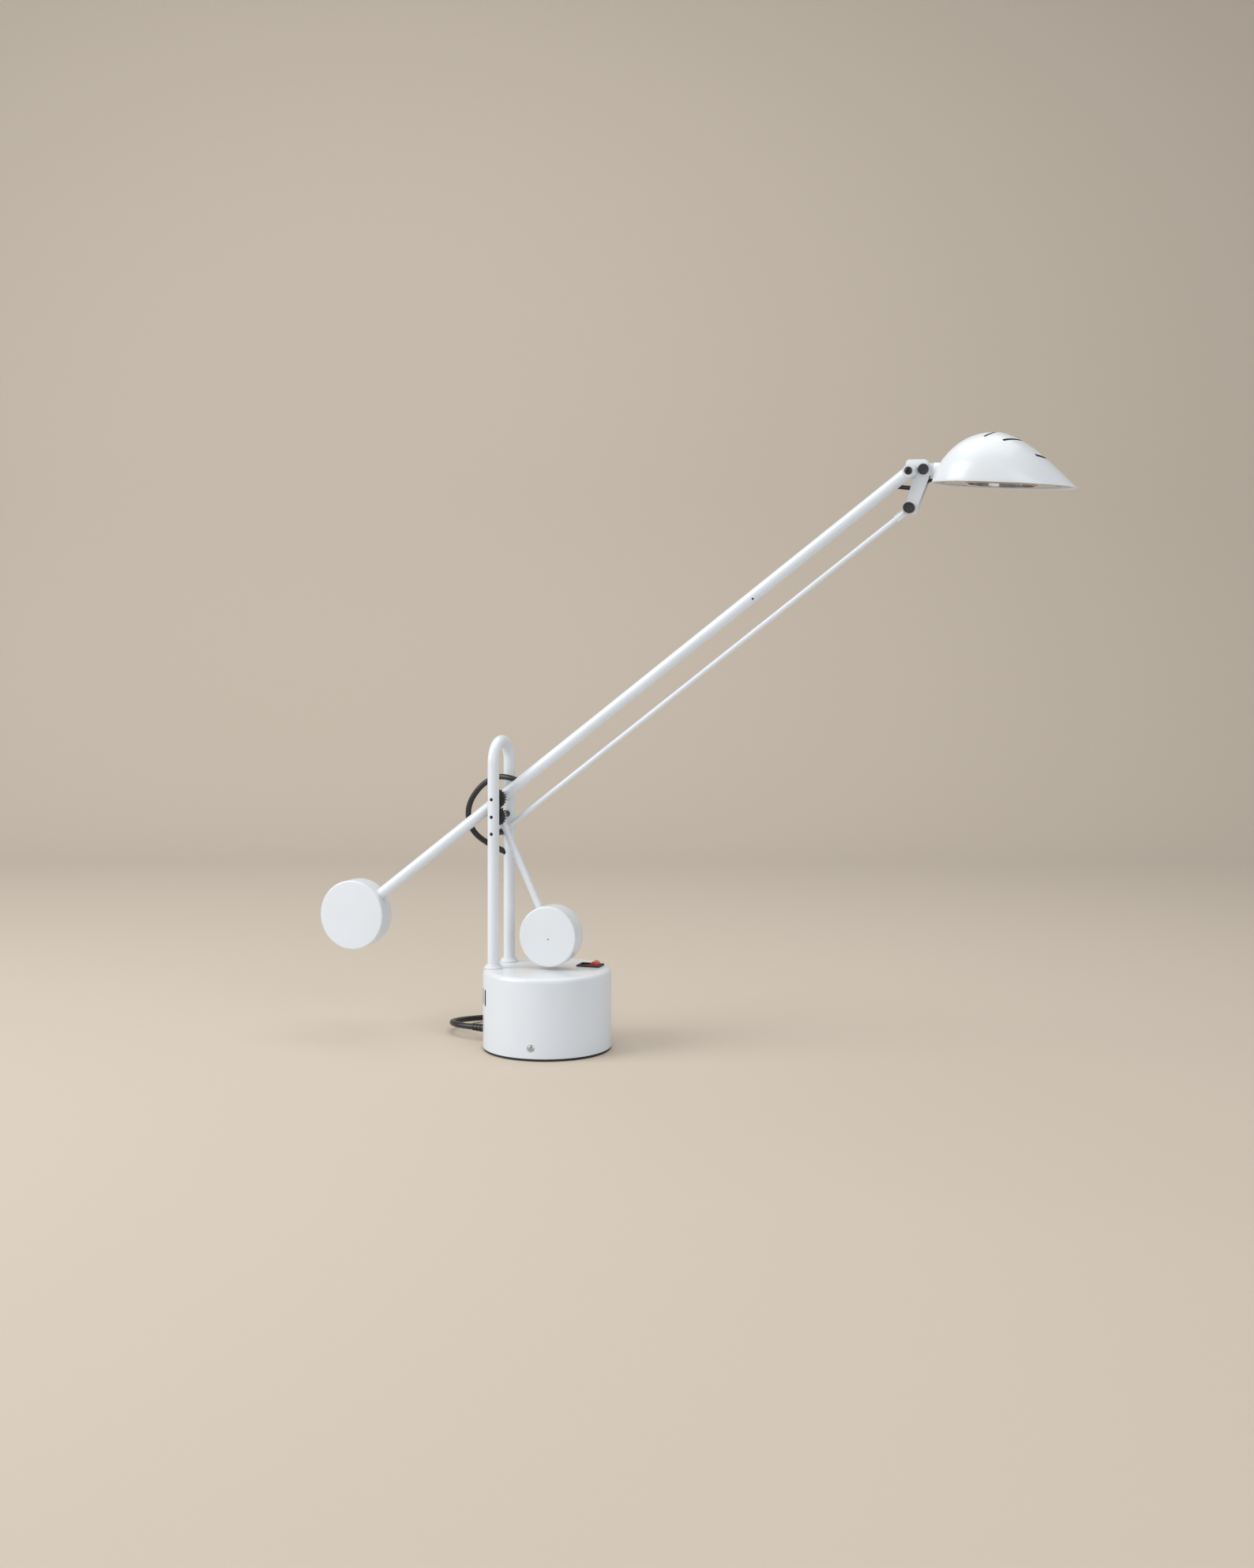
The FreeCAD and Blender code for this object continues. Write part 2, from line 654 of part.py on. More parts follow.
def gear_body(name, first_tooth):
    """Toothed wheel about its own Y axis, with one tooth at an angle above +X and a pattern of the rest."""
    body = doc.addObject("PartDesign::Body", name)
    teeth = int(size("gear_teeth"))
    module = size("gear_distance") / teeth
    root = body.newObject("Sketcher::SketchObject", name + "_root")
    root.AttachmentSupport = [(origin_plane(body, "XZ_Plane"), "")]
    root.MapMode = "FlatFace"
    root.addGeometry(Part.Circle(ORIGIN, Z, size("gear_distance") / 2 - 1.3 * module), False)
    root.addConstraint(Sketcher.Constraint("Coincident", 0, 3, -1, 1))
    root.addConstraint(Sketcher.Constraint("Radius", 0, size("gear_distance") / 2 - 1.3 * module))
    root.renameConstraint(1, "root_radius")
    root.setExpression("Constraints.root_radius", bound("gear_distance / 2 - 1.3 * gear_distance / gear_teeth"))
    disc = body.newObject("PartDesign::Pad", name + "_disc")
    disc.Profile = root
    bind(disc, Length="gear_face")
    disc.Reversed = True
    half = tooth_corners()
    flank = [(r, first_tooth - a) for r, a in half] + [(r, first_tooth + a) for r, a in reversed(half)]
    tooth = outline(body, "XZ_Plane", [(r * math.cos(a), r * math.sin(a)) for r, a in flank])
    pad = body.newObject("PartDesign::Pad", name + "_tooth")
    pad.Profile = tooth
    bind(pad, Length="gear_face")
    pad.Reversed = True
    pattern = body.newObject("PartDesign::PolarPattern", name + "_teeth")
    pattern.Originals = [pad]
    pattern.Axis = (root, ["N_Axis"])
    pattern.Angle = 360
    pattern.Occurrences = teeth
    body.Tip = pattern
    return body


def make_arm_gear():
    """Gear on the upper axle, with a boss that saddles the arm's tube."""
    half_pitch = math.pi / size("gear_teeth")
    wheel = place(gear_body("arm_gear_wheel", math.pi / 2 + half_pitch), 0, GEAR_FRONT, 0)
    boss = cylinder("arm_gear_boss", "hub_radius", "-(%s) - 3" % GEAR_BACK, 0, GEAR_BACK, 0, "y")
    bore = cylinder("arm_gear_bore", "axle_radius + running_fit", "gear_face + 20", 0, GEAR_FRONT + " - 5", 0, "y")
    counterbore = cylinder("arm_gear_counterbore", "bush_radius + 0.05", 20, 0, GEAR_BACK + " + side_gap", 0, "y")
    doc.recompute()
    saddle = fixed("arm_gear_saddle", Part.makeCylinder(size("tube_radius + 0.05"), 60, ARM_DIRECTION * -30, ARM_DIRECTION))
    whole = cut("arm_gear", fuse("arm_gear_blank", wheel, boss), bore, counterbore, saddle)
    keep("arm_gear", turned(whole, UPPER_PIVOT, 0))


def make_lever_gear():
    """Equal gear on the middle axle, in mesh with the arm's gear."""
    wheel = place(gear_body("lever_gear_wheel", math.pi / 2), 0, GEAR_FRONT, 0)
    bore = cylinder("lever_gear_bore", "axle_radius + running_fit", "gear_face + 10", 0, GEAR_FRONT + " - 5", 0, "y")
    keep("lever_gear", turned(cut("lever_gear", wheel, bore), MIDDLE_PIVOT, 0))


# ---------------------------------------------------------------- arm, built along +X round the upper axle

def on_arm(name, thing):
    return keep(name, turned(thing, UPPER_PIVOT, -ARM_ANGLE))


def make_arm_tube():
    """Straight tube from inside the large weight to its rounded end round the bracket's pivot."""
    start = "-(arm_tail - large_weight_radius + rod_seat_depth)"
    length = "arm_length - (%s)" % start
    bar = cylinder("arm_outer", "tube_radius", length, start, 0, 0, "x")
    knuckle = cylinder("arm_knuckle", "tube_radius", "end_knuckle_depth * 2", "arm_length", "-end_knuckle_depth", 0, "y")
    bore = cylinder("arm_bore", "tube_bore_radius", length + " - end_plug_length", start + " - 1", 0, 0, "x")
    cross = cylinder("arm_cross_hole", "bush_radius + 0.02", "tube_radius * 4", 0, "-tube_radius * 2", 0, "y")
    seat = cylinder("arm_end_seat", "end_bush_radius + 0.02", "tube_radius * 4", "arm_length", "-tube_radius * 2", 0, "y")
    to_arm = Placement(UPPER_PIVOT, Rotation(Y, -ARM_ANGLE)).inverse()
    holes = []
    for index, (inside, outside) in enumerate(((arm_lead_points()[-1], arm_lead_points()[-2]),
                                               (arm_end_lead_points()[0], arm_end_lead_points()[1]))):
        a, b = to_arm.multVec(inside), to_arm.multVec(outside)
        radius = size(("lead_radius", "end_lead_radius")[index] + " + 0.4")
        holes.append(fixed("arm_lead_hole_%d" % index, Part.makeCylinder(radius, 14, a, b - a)))
    on_arm("arm_tube", cut("arm_tube", fuse("arm_blank", bar, knuckle), bore, cross, seat, *holes))


def make_arm_bush():
    """Bearing sleeve through the tube, on the upper axle."""
    length = "tube_radius * 2 + 3.8"
    sleeve = cylinder("arm_bush_sleeve", "bush_radius", length, 0, "-(%s) / 2" % length, 0, "y")
    bore = cylinder("arm_bush_bore", "axle_radius + running_fit", length, 0, "-(%s) / 2" % length, 0, "y")
    on_arm("arm_bush", cut("arm_bush", sleeve, bore))


def weight_disc(name, radius, centre_x, centre_y, rod_radius):
    """Steel disc with softly broken edges and a radial seat for its rod."""
    disc = cylinder(name + "_disc", radius, "weight_width", centre_x, "(%s) - weight_width / 2" % centre_y, 0, "y")
    eased = rounded(name + "_eased", disc, size("weight_edge"), lambda e: is_circle(e, size(radius)))
    return eased


def make_arm_weight():
    disc = weight_disc("large_weight", "large_weight_radius", "-arm_tail", "0", "tube_radius")
    seat = cylinder("large_weight_seat", "tube_radius + 0.02", "large_weight_radius",
                    "-arm_tail + large_weight_radius - rod_seat_depth", 0, 0, "x")
    hole = cylinder("large_weight_screw_hole", "set_screw_radius + 0.02", "weight_width",
                    "-arm_tail + large_weight_radius - rod_seat_depth / 2", 0, 0, "y")
    on_arm("arm_weight", cut("arm_weight", disc, seat, hole))
    screw = cylinder("large_weight_screw", "set_screw_radius", "weight_width / 2 - tube_radius - 0.6",
                     "-arm_tail + large_weight_radius - rod_seat_depth / 2", "tube_radius + 0.05", 0, "y")
    on_arm("arm_weight_screw", screw)


def make_arm_end_bush():
    """Black bearing across the arm's rounded end, with a collar towards the bracket."""
    reach = "bracket_plane - bracket_width / 2 - side_gap"
    bearing = cylinder("end_bearing", "end_bush_radius", reach + " + tube_radius + 0.6", "arm_length",
                       "-tube_radius - 0.6", 0, "y")
    collar = cylinder("end_collar", "tube_radius - 0.4", reach + " - tube_radius - 0.1", "arm_length",
                      "tube_radius + 0.1", 0, "y")
    bore = cylinder("end_bore", "axle_radius + running_fit", 40, "arm_length", -20, 0, "y")
    on_arm("arm_end_bush", cut("arm_end_bush", fuse("end_blank", bearing, collar), bore))


def make_arm_inner_lead():
    """The lead's straight run, lying on the bottom of the arm's bore."""
    start, end = 29.0, size("arm_length") - 23
    run = bind(doc.addObject("Part::Cylinder", "inner_run"), Radius="lead_radius")
    run.Height = end - start
    place(run, start, 0, "-(tube_bore_radius - lead_radius - running_fit)", ALONG["x"])
    on_arm("arm_inner_lead", run)


# ---------------------------------------------------------------- lever, built along +X round the middle axle

def on_lever(name, thing):
    return keep(name, turned(thing, MIDDLE_PIVOT, 90 - size("lever_lean")))


def make_lever():
    """Hub on the axle, rod to beyond the small weight's middle, and the set screw that holds it."""
    hub = cylinder("hub_drum", "hub_radius", "lever_plane + lever_radius + 0.4 - " + GEAR_BACK, 0, GEAR_BACK, 0, "y")
    axle = cylinder("hub_bore", "axle_radius + running_fit", 40, 0, -20, 0, "y")
    socket = cylinder("hub_socket", "lever_radius + 0.02", 20, "axle_radius + 0.8", "lever_plane", 0, "x")
    on_lever("lever_hub", cut("lever_hub", hub, axle, socket))
    rod = cylinder("lever_rod", "lever_radius", "lever_length + lever_seat_past_middle - axle_radius - 0.8",
                   "axle_radius + 0.8", "lever_plane", 0, "x")
    on_lever("lever_rod", rod)
    disc = weight_disc("small_weight", "small_weight_radius", "lever_length", "lever_plane", "lever_radius")
    seat = cylinder("small_weight_seat", "lever_radius + 0.02", "small_weight_radius * 2 + lever_seat_past_middle",
                    "lever_length - small_weight_radius * 2", "lever_plane", 0, "x")
    screw_x = "lever_length + 2.2"
    hole = cylinder("small_weight_screw_hole", "lever_screw_radius + 0.02", "weight_width",
                    screw_x, "lever_plane - weight_width", 0, "y")
    on_lever("lever_weight", cut("lever_weight", disc, seat, hole))
    screw = cylinder("small_weight_screw", "lever_screw_radius", "weight_width / 2 - lever_radius - 0.6", screw_x,
                     "lever_plane - weight_width / 2 + 0.5", 0, "y")
    on_lever("lever_weight_screw", screw)


# ---------------------------------------------------------------- link rod, built along +X round the lower axle

def make_link_rod():
    """Thin rod with a drum eye on the lower axle and a flattened eye at the bracket."""
    start_eye = cylinder("link_drum", "eye_radius", "link_drum_width", 0, "link_plane - link_drum_width / 2", 0, "y")
    rod = cylinder("link_bar", "link_radius", "arm_length - 6", 0, "link_plane", 0, "x")
    flat = box("link_flat", "12", "eye_thickness", "link_radius * 2.4", "arm_length - 8", "link_plane", "-link_radius * 1.2")
    end_eye = cylinder("link_end_eye", "eye_radius", "eye_thickness", "arm_length", "link_plane - eye_thickness / 2", 0, "y")
    start_bore = cylinder("link_start_bore", "axle_radius + running_fit", 20, 0, -8, 0, "y")
    end_bore = cylinder("link_end_bore", "axle_radius + 0.1", 20, "arm_length", -8, 0, "y")
    whole = cut("link_rod", fuse("link_blank", start_eye, rod, flat, end_eye), start_bore, end_bore)
    keep("link_rod", turned(whole, LOWER_PIVOT, -ARM_ANGLE))


# ---------------------------------------------------------------- bracket, built round the arm's end pivot

def at_arm_end(name, thing):
    return keep(name, turned(thing, ARM_END, 0))


NEAR_PLATE = "(bracket_plane - bracket_width / 2)"
FAR_PLATE = "(bracket_plane + bracket_width / 2)"


def make_bracket():
    """Folded sheet channel, open towards the head, with holes for its three pivots."""
    blank = padded("bracket_blank", "XZ_Plane", [
        (-4.6, 1.5), (-4.4, 8.0), (-2.6, 10.0), ("hinge_forward + 1.6", 9.8), ("hinge_forward + 2.6", 8.8),
        ("hinge_forward + 4.6", -2.0), ("hinge_forward + 4.3", -5.2), (5.7, "-link_drop + 2.5"),
        (4.6, "-link_drop - 2.2"), (1.5, "-link_drop - 4.6"), (-2.6, "-link_drop - 4.0"),
        (-4.6, "-link_drop - 1.0"), (-3.3, "-link_drop + 7.5"), (0.7, -7.4), (0.3, -4.2), (-3.4, -1.6),
    ], "bracket_width")
    inside = padded("bracket_inside", "XZ_Plane", [
        ("-4.6 + bracket_sheet", 1.7), ("-4.4 + bracket_sheet", 7.7), (-2.0, "10 - bracket_sheet"),
        ("hinge_forward - 2", "10 - bracket_sheet"), ("hinge_forward - 2", 20), (40, 20), (40, "-link_drop - 20"),
        (-20, "-link_drop - 20"), (-20, "-link_drop + 3"), ("-3.8 + bracket_sheet", "-link_drop + 3"),
        ("-3.3 + bracket_sheet", "-link_drop + 7.4"), ("0.7 + bracket_sheet", -7.4),
        ("0.3 + bracket_sheet", -3.4), ("-3.2 + bracket_sheet", -0.6),
    ], "bracket_width - bracket_sheet * 2")
    for body in (blank, inside):
        place(body, 0, "bracket_plane", 0)
    start = "-20"
    holes = [cylinder("bracket_arm_hole", "axle_radius + 0.02", "30 + %s" % NEAR_PLATE, 0, start, 0, "y"),
             cylinder("bracket_link_hole", "axle_radius + 0.02", "30 + %s" % NEAR_PLATE, 0, start, "-link_drop", "y"),
             cylinder("bracket_hinge_hole", "axle_radius + 0.02", 60, "hinge_forward", start, "hinge_rise", "y")]
    for hole in holes[:2]:
        bind(hole, Height="20 + %s + bracket_sheet + 1" % NEAR_PLATE)
    before, inside_end = (p - ARM_END for p in arm_end_lead_points()[1:])
    way_in = Part.makeCylinder(size("end_lead_radius + 0.4"), 12, before, inside_end - before)
    holes.append(fixed("bracket_lead_hole", way_in))
    at_arm_end("bracket_channel", cut("bracket_channel", blank, inside, *holes))


def cross_slots(name, radius, face_y, x, z):
    """Two crossed bars that cut a recess into a screw head's near face."""
    return [box("%s_%d" % (name, i), w, 1.2, h, x, face_y, "(%s) - (%s) / 2" % (z, h))
            for i, (w, h) in enumerate((("0.8", radius + " * 1.3"), (radius + " * 1.3", "0.8")))]


def make_pivots():
    """Cross-slot screw at the arm, black knobs at the link rod and the head's hinge."""
    head_front = "-5.6 - side_gap - pivot_head_thickness"
    head = cylinder("arm_pivot_head", "pivot_head_radius", "pivot_head_thickness", 0, head_front, 0, "y")
    shank_end = NEAR_PLATE + " + bracket_sheet + 0.6"
    shank = cylinder("arm_pivot_shank", "axle_radius", "%s - (%s)" % (shank_end, head_front), 0, head_front, 0, "y")
    slots = cross_slots("arm_pivot_slot", "pivot_head_radius", head_front, 0, 0)
    at_arm_end("arm_pivot_screw", cut("arm_pivot_screw", fuse("arm_pivot_blank", head, shank), *slots))
    knob_front, knob_back = "-6.5", "link_plane - eye_thickness / 2 - side_gap"
    knob = cylinder("link_knob", "knob_radius", "%s - (%s)" % (knob_back, knob_front), 0, knob_front, "-link_drop", "y")
    pin = cylinder("link_pin", "axle_radius", "%s - (%s)" % (shank_end, knob_front), 0, knob_front, "-link_drop", "y")
    at_arm_end("link_pivot_knob", fuse("link_pivot_knob", knob, pin))
    spacer_start = "link_plane + eye_thickness / 2 + side_gap"
    spacer = cylinder("link_spacer_tube", "spacer_radius", "%s - (%s)" % (NEAR_PLATE, spacer_start),
                      0, spacer_start, "-link_drop", "y")
    spacer_bore = cylinder("link_spacer_bore", "axle_radius + 0.02", 30, 0, -10, "-link_drop", "y")
    at_arm_end("link_spacer", cut("link_spacer", spacer, spacer_bore))
    far = bind(doc.addObject("Part::Prism", "hinge_nut_prism"), Circumradius=3.2, Height=2.4)
    far.Polygon = 6
    place(far, "hinge_forward", FAR_PLATE, "hinge_rise", ALONG["y"])
    far_bore = cylinder("hinge_nut_bore", "axle_radius + 0.02", 60, "hinge_forward", -10, "hinge_rise", "y")
    at_arm_end("hinge_nut", cut("hinge_nut", far, far_bore))
    hinge_front = NEAR_PLATE + " - hinge_knob_thickness"
    disc = cylinder("hinge_disc", "knob_radius", "hinge_knob_thickness", "hinge_forward", hinge_front, "hinge_rise", "y")
    bolt = cylinder("hinge_bolt", "axle_radius", "bracket_width + hinge_knob_thickness + 3", "hinge_forward",
                    hinge_front, "hinge_rise", "y")
    at_arm_end("head_hinge_knob", fuse("head_hinge_knob", disc, bolt))


# ---------------------------------------------------------------- head, built along +X round its hinge

def in_head(name, thing):
    return keep(name, turned(thing, HEAD_HINGE, size("head_droop")))


# Each share is (1 - s ** FALL) ** SWELL, where s is the level over the height.
FRONT_FALL, FRONT_SWELL = 0.9, 0.6
BACK_FALL, BACK_SWELL = 1.45, 0.45
SIDE_FALL, SIDE_SWELL = 2.2, 0.4545
PLAN_POWER = 2.2


def egg_wire(level, inset=0.0, points=40):
    """The head's outline at a level above its rim, drawn in by an inset: an egg of four powered quarters."""
    height = size("head_height") - inset
    share = min(level / height, 0.9995)
    back = (size("crown_back") - inset) * (1 - share ** BACK_FALL) ** BACK_SWELL
    front = (size("head_length - crown_back") - inset) * (1 - share ** FRONT_FALL) ** FRONT_SWELL
    side = (size("head_half_width") - inset) * (1 - share ** SIDE_FALL) ** SIDE_SWELL
    crown = size("rim_back + crown_back")
    rim = -size("rim_drop")
    outline_points = []
    for index in range(points):
        angle = 2 * math.pi * index / points
        c, s = math.cos(angle), math.sin(angle)
        reach = front if c >= 0 else back
        u = crown + reach * math.copysign(abs(c) ** (2 / PLAN_POWER), c)
        v = side * math.copysign(abs(s) ** (2 / PLAN_POWER), s)
        outline_points.append(Vector(u, v, rim + level))
    curve = Part.BSplineCurve()
    curve.interpolate(Points=outline_points, PeriodicFlag=True)
    return Part.Wire(curve.toShape())


def dome(inset, bottom):
    """The head's closed form, from a level below or at the rim up to its crown."""
    height = size("head_height") - inset
    levels = [height * share for share in (0, 0.08, 0.2, 0.35, 0.5, 0.65, 0.79, 0.9, 0.965, 0.995)]
    wires = [egg_wire(level, inset) for level in levels]
    solid = Part.makeLoft(wires, True, False)
    if bottom:
        skirt = Part.Face(wires[0]).extrude(Vector(0, 0, -bottom))
        solid = solid.fuse(skirt)
    return solid


def neck_cylinder(name, radius, start, end):
    return cylinder(name, radius, "(%s) - (%s)" % (end, start), start, 0, 0, "x")


def crown_slots():
    """Three crescent cooling slots over the crown, bowed towards the front, cut down through the shell."""
    slots = []
    bow, half_width = size("crown_slot_bow"), size("crown_slot_width / 2")
    floor, height = size("head_height * 0.3 - rim_drop"), size("head_height")
    for index, half_length in enumerate(("crown_slot_reach", "crown_slot_reach * 1.18", "crown_slot_reach * 0.91")):
        front = size("rim_back + crown_slot_first + crown_slot_pitch * %d" % index)
        centre = Vector(front - bow, 0, floor)
        ring = Part.makeCylinder(bow + half_width, height, centre).cut(Part.makeCylinder(bow - half_width, height, centre))
        reach = size(half_length)
        window = Part.makeBox(bow * 2, reach * 2, height, centre + Vector(0, -reach, 0))
        slots.append(fixed("crown_slot_%d" % index, ring.common(window)))
    return slots


def make_head_shell():
    outer = fixed("head_outer", dome(0.0, 0))
    inner = fixed("head_inner", dome(size("shell_wall"), 2.0))
    neck_hole = neck_cylinder("shell_neck_hole", "neck_radius + 0.02", "neck_start - 6", "neck_end + 4")
    lead_points = [point_in_head(p) for p in head_lead_points()]
    lead_hole = fixed("shell_lead_hole", Part.makeCylinder(size("head_lead_radius + 0.3"), 10, lead_points[-2],
                                                           lead_points[-1] - lead_points[-2]))
    in_head("head_shell", cut("head_shell", outer, inner, neck_hole, lead_hole, *crown_slots()))


def point_in_head(point):
    return Placement(HEAD_HINGE, Rotation(Y, size("head_droop"))).inverse().multVec(point)


def make_head_neck():
    """Flat tongue between the bracket's plates that grows into the round neck."""
    tongue = box("tongue_bar", "neck_start + 2", "bracket_width - bracket_sheet * 2 - side_gap * 2",
                 "tongue_half_height * 2", "neck_start / 2 + 1", 0, "-tongue_half_height")
    back = cylinder("tongue_back", "tongue_half_height", "bracket_width - bracket_sheet * 2 - side_gap * 2",
                    0, "-(bracket_width - bracket_sheet * 2 - side_gap * 2) / 2", 0, "y")
    neck = neck_cylinder("neck_round", "neck_radius", "neck_start", "neck_end")
    bore = cylinder("tongue_bore", "axle_radius + running_fit", 20, 0, -10, 0, "y")
    in_head("head_neck", cut("head_neck", fuse("neck_blank", tongue, back, neck), bore))


def make_trim_plate():
    """Flat polished plate that closes the head from below, round the lamp's opening."""
    top = egg_wire(size("trim_recess + trim_thickness"), size("shell_wall") + 0.1)
    blank = Part.Face(top).extrude(Vector(0, 0, -size("trim_thickness")))
    plate = fixed("trim_blank", blank)
    opening = cylinder("trim_opening", "lamp_opening_radius", 20, "lamp_centre", 0, "-rim_drop - 5")
    holes = [cylinder("trim_hole_%d" % i, "trim_screw_radius + 0.05", 20, x, y, "-rim_drop - 5")
             for i, (x, y) in enumerate(trim_screw_spots())]
    in_head("trim_plate", cut("trim_plate", plate, opening, *holes))


def trim_screw_spots():
    return [("rim_back + 8", "0"), ("rim_back + 22", "-24"), ("rim_back + 22", "24"), ("rim_back + 100", "0")]


def make_trim_screws():
    screws = []
    for index, (x, y) in enumerate(trim_screw_spots()):
        body = cylinder("trim_screw_body_%d" % index, "trim_screw_radius", "trim_thickness + 0.8", x, y,
                        "-rim_drop + trim_recess + 0.2")
        slot = box("trim_screw_slot_%d" % index, "trim_screw_radius * 1.6", "0.7", "0.6", x, y,
                   "-rim_drop + trim_recess - 0.1")
        screws.append(cut("trim_screw_%d" % index, body, slot))
    in_head("trim_screws", group("trim_screws", *screws))


def make_lamp():
    """Cover glass, bowl reflector, holder and halogen capsule, stacked on the trim plate."""
    plate_top = "-rim_drop + trim_recess + trim_thickness"
    glass_top = plate_top + " + glass_thickness"
    glass = cylinder("cover_glass", "lamp_opening_radius + 2", "glass_thickness", "lamp_centre", 0, plate_top)
    in_head("cover_glass", glass)
    rim, top = "lamp_opening_radius + 1.2", "holder_radius"
    bowl = revolved("reflector_bowl", [
        (rim, 0),
        (rim, "reflector_height * 0.08"),
        ("(%s) * 0.92" % rim, "reflector_height * 0.4"),
        ("(%s) * 0.72" % rim, "reflector_height * 0.75"),
        ("(%s) * 0.45" % rim, "reflector_height"),
        (top + " * 0.7", "reflector_height"),
        (top + " * 0.7", "reflector_height - reflector_wall"),
        ("(%s) * 0.43" % rim, "reflector_height - reflector_wall"),
        ("(%s) * 0.70 - reflector_wall" % rim, "reflector_height * 0.73"),
        ("(%s) * 0.92 - reflector_wall" % rim, "reflector_height * 0.38"),
        (rim + " - reflector_wall", "reflector_height * 0.06"),
        (rim + " - reflector_wall", 0),
    ])
    place(bowl, "lamp_centre", 0, glass_top)
    in_head("reflector", bowl)
    holder = cylinder("lamp_holder", "holder_radius", "holder_height", "lamp_centre", 0, glass_top + " + reflector_height")
    in_head("lamp_holder", holder)
    capsule = revolved("capsule_blank", [
        (0, 0),
        ("capsule_radius * 0.6", 0.6),
        ("capsule_radius", 3),
        ("capsule_radius", "reflector_height * 0.6"),
        ("capsule_radius * 0.55", "reflector_height * 0.75"),
        ("capsule_radius * 0.55", "reflector_height - 2"),
        (0, "reflector_height - 2"),
    ])
    place(capsule, "lamp_centre", 0, glass_top + " + 2")
    in_head("halogen_capsule", capsule)


# ---------------------------------------------------------------- leads

def arm_lead_points():
    """The loop that leaves the far leg, swings behind the arm and enters the arm's top."""
    hole = size("arm_lead_hole_height")
    leg_y = size("leg_spacing / 2")
    rise = size("axle_height")
    return [
        Vector(LEG_X + 1.0, leg_y - 0.9, hole - 1.5),
        Vector(LEG_X - 19.5, leg_y - 8.1, hole + 8),
        Vector(LEG_X - 34.0, leg_y - 8.5, hole + 21),
        Vector(LEG_X - 36.0, leg_y - 8.9, rise - 9.5),
        Vector(LEG_X - 24.5, leg_y - 10.0, rise + 8.0),
        Vector(LEG_X - 8.0, 5.0, rise + 17.8),
        Vector(LEG_X + 6.5, 1.6, rise + 17.8),
        Vector(LEG_X + 17.5, 0.0, rise + 14.5),
    ]


def arm_end_lead_points():
    """Short jump from the arm's underside into the bracket's channel."""
    plane = size("bracket_plane")
    return [ARM_END + Vector(-15.0, 0.2, -11.4), ARM_END + Vector(-7.0, 8.0, -12.6), ARM_END + Vector(3.2, plane, -13.0)]


def head_lead_points():
    """From the channel, under the tongue, into the head's back."""
    plane = size("bracket_plane")
    spots = ((4.4, -13.2), (8.8, -10.2), (13.0, -7.4), (18.0, -6.2))
    return [ARM_END + Vector(x, plane, z) for x, z in spots]


def make_inner_leads():
    for name, points, radius in (("arm_lead", arm_lead_points(), "lead_radius"),
                                 ("arm_end_lead", arm_end_lead_points(), "end_lead_radius"),
                                 ("head_lead", head_lead_points(), "head_lead_radius")):
        keep(name, fixed(name, tube_along(name, route_edges(name, points), size(radius))))


def exit_direction():
    turn = math.radians(size("lead_exit_angle"))
    return Vector(math.cos(turn), math.sin(turn), 0)


def sleeve(name, length, root, tip, grooves):
    """Tapered strain relief about its own Z axis, ringed so that it bends evenly."""
    blank = revolved(name + "_cone", [(0, 0), (root, 0), (root, 3), (tip, length), (0, length)])
    tools = []
    for index in range(grooves):
        height = "%s * %.3f" % (length, 0.3 + 0.6 * index / (grooves - 1))
        radius = "(%s) - ((%s) - (%s)) * %.3f" % (root, root, tip, 0.3 + 0.6 * index / (grooves - 1))
        ring = cylinder("%s_ring_%d" % (name, index), radius + " + 2", 1.0, 0, 0, height)
        heart = cylinder("%s_heart_%d" % (name, index), radius + " - 0.35", 1.0, 0, 0, height)
        tools.append(cut("%s_groove_%d" % (name, index), ring, heart))
    return cut(name, blank, *tools)


def make_gland_and_sleeve():
    """White gland block in the base's notch and the ringed sleeve that leaves it."""
    block = box("gland_block", "base_wall * 2", "sleeve_root_radius * 2 + 1.9",
                "lead_exit_height + sleeve_root_radius + 0.9 - foot_thickness - 0.1", 0, 0, "foot_thickness + 0.05")
    hole = cylinder("gland_hole", "sleeve_root_radius + 0.02", 30, -15, 0, "lead_exit_height", "x")
    gland = cut("cord_gland", block, hole)
    keep("cord_gland", around_base(gland, size("lead_exit_angle"), "base_radius - base_wall - 0.3"))
    relief = sleeve("lead_sleeve", "sleeve_length", "sleeve_root_radius", "lead_radius + 0.5", 5)
    start = exit_direction() * size("base_radius - 4") + Z * size("lead_exit_height")
    relief.Placement = Placement(start, Rotation(Z, exit_direction()))
    keep("lead_sleeve", relief)
    return start + exit_direction() * size("sleeve_length")


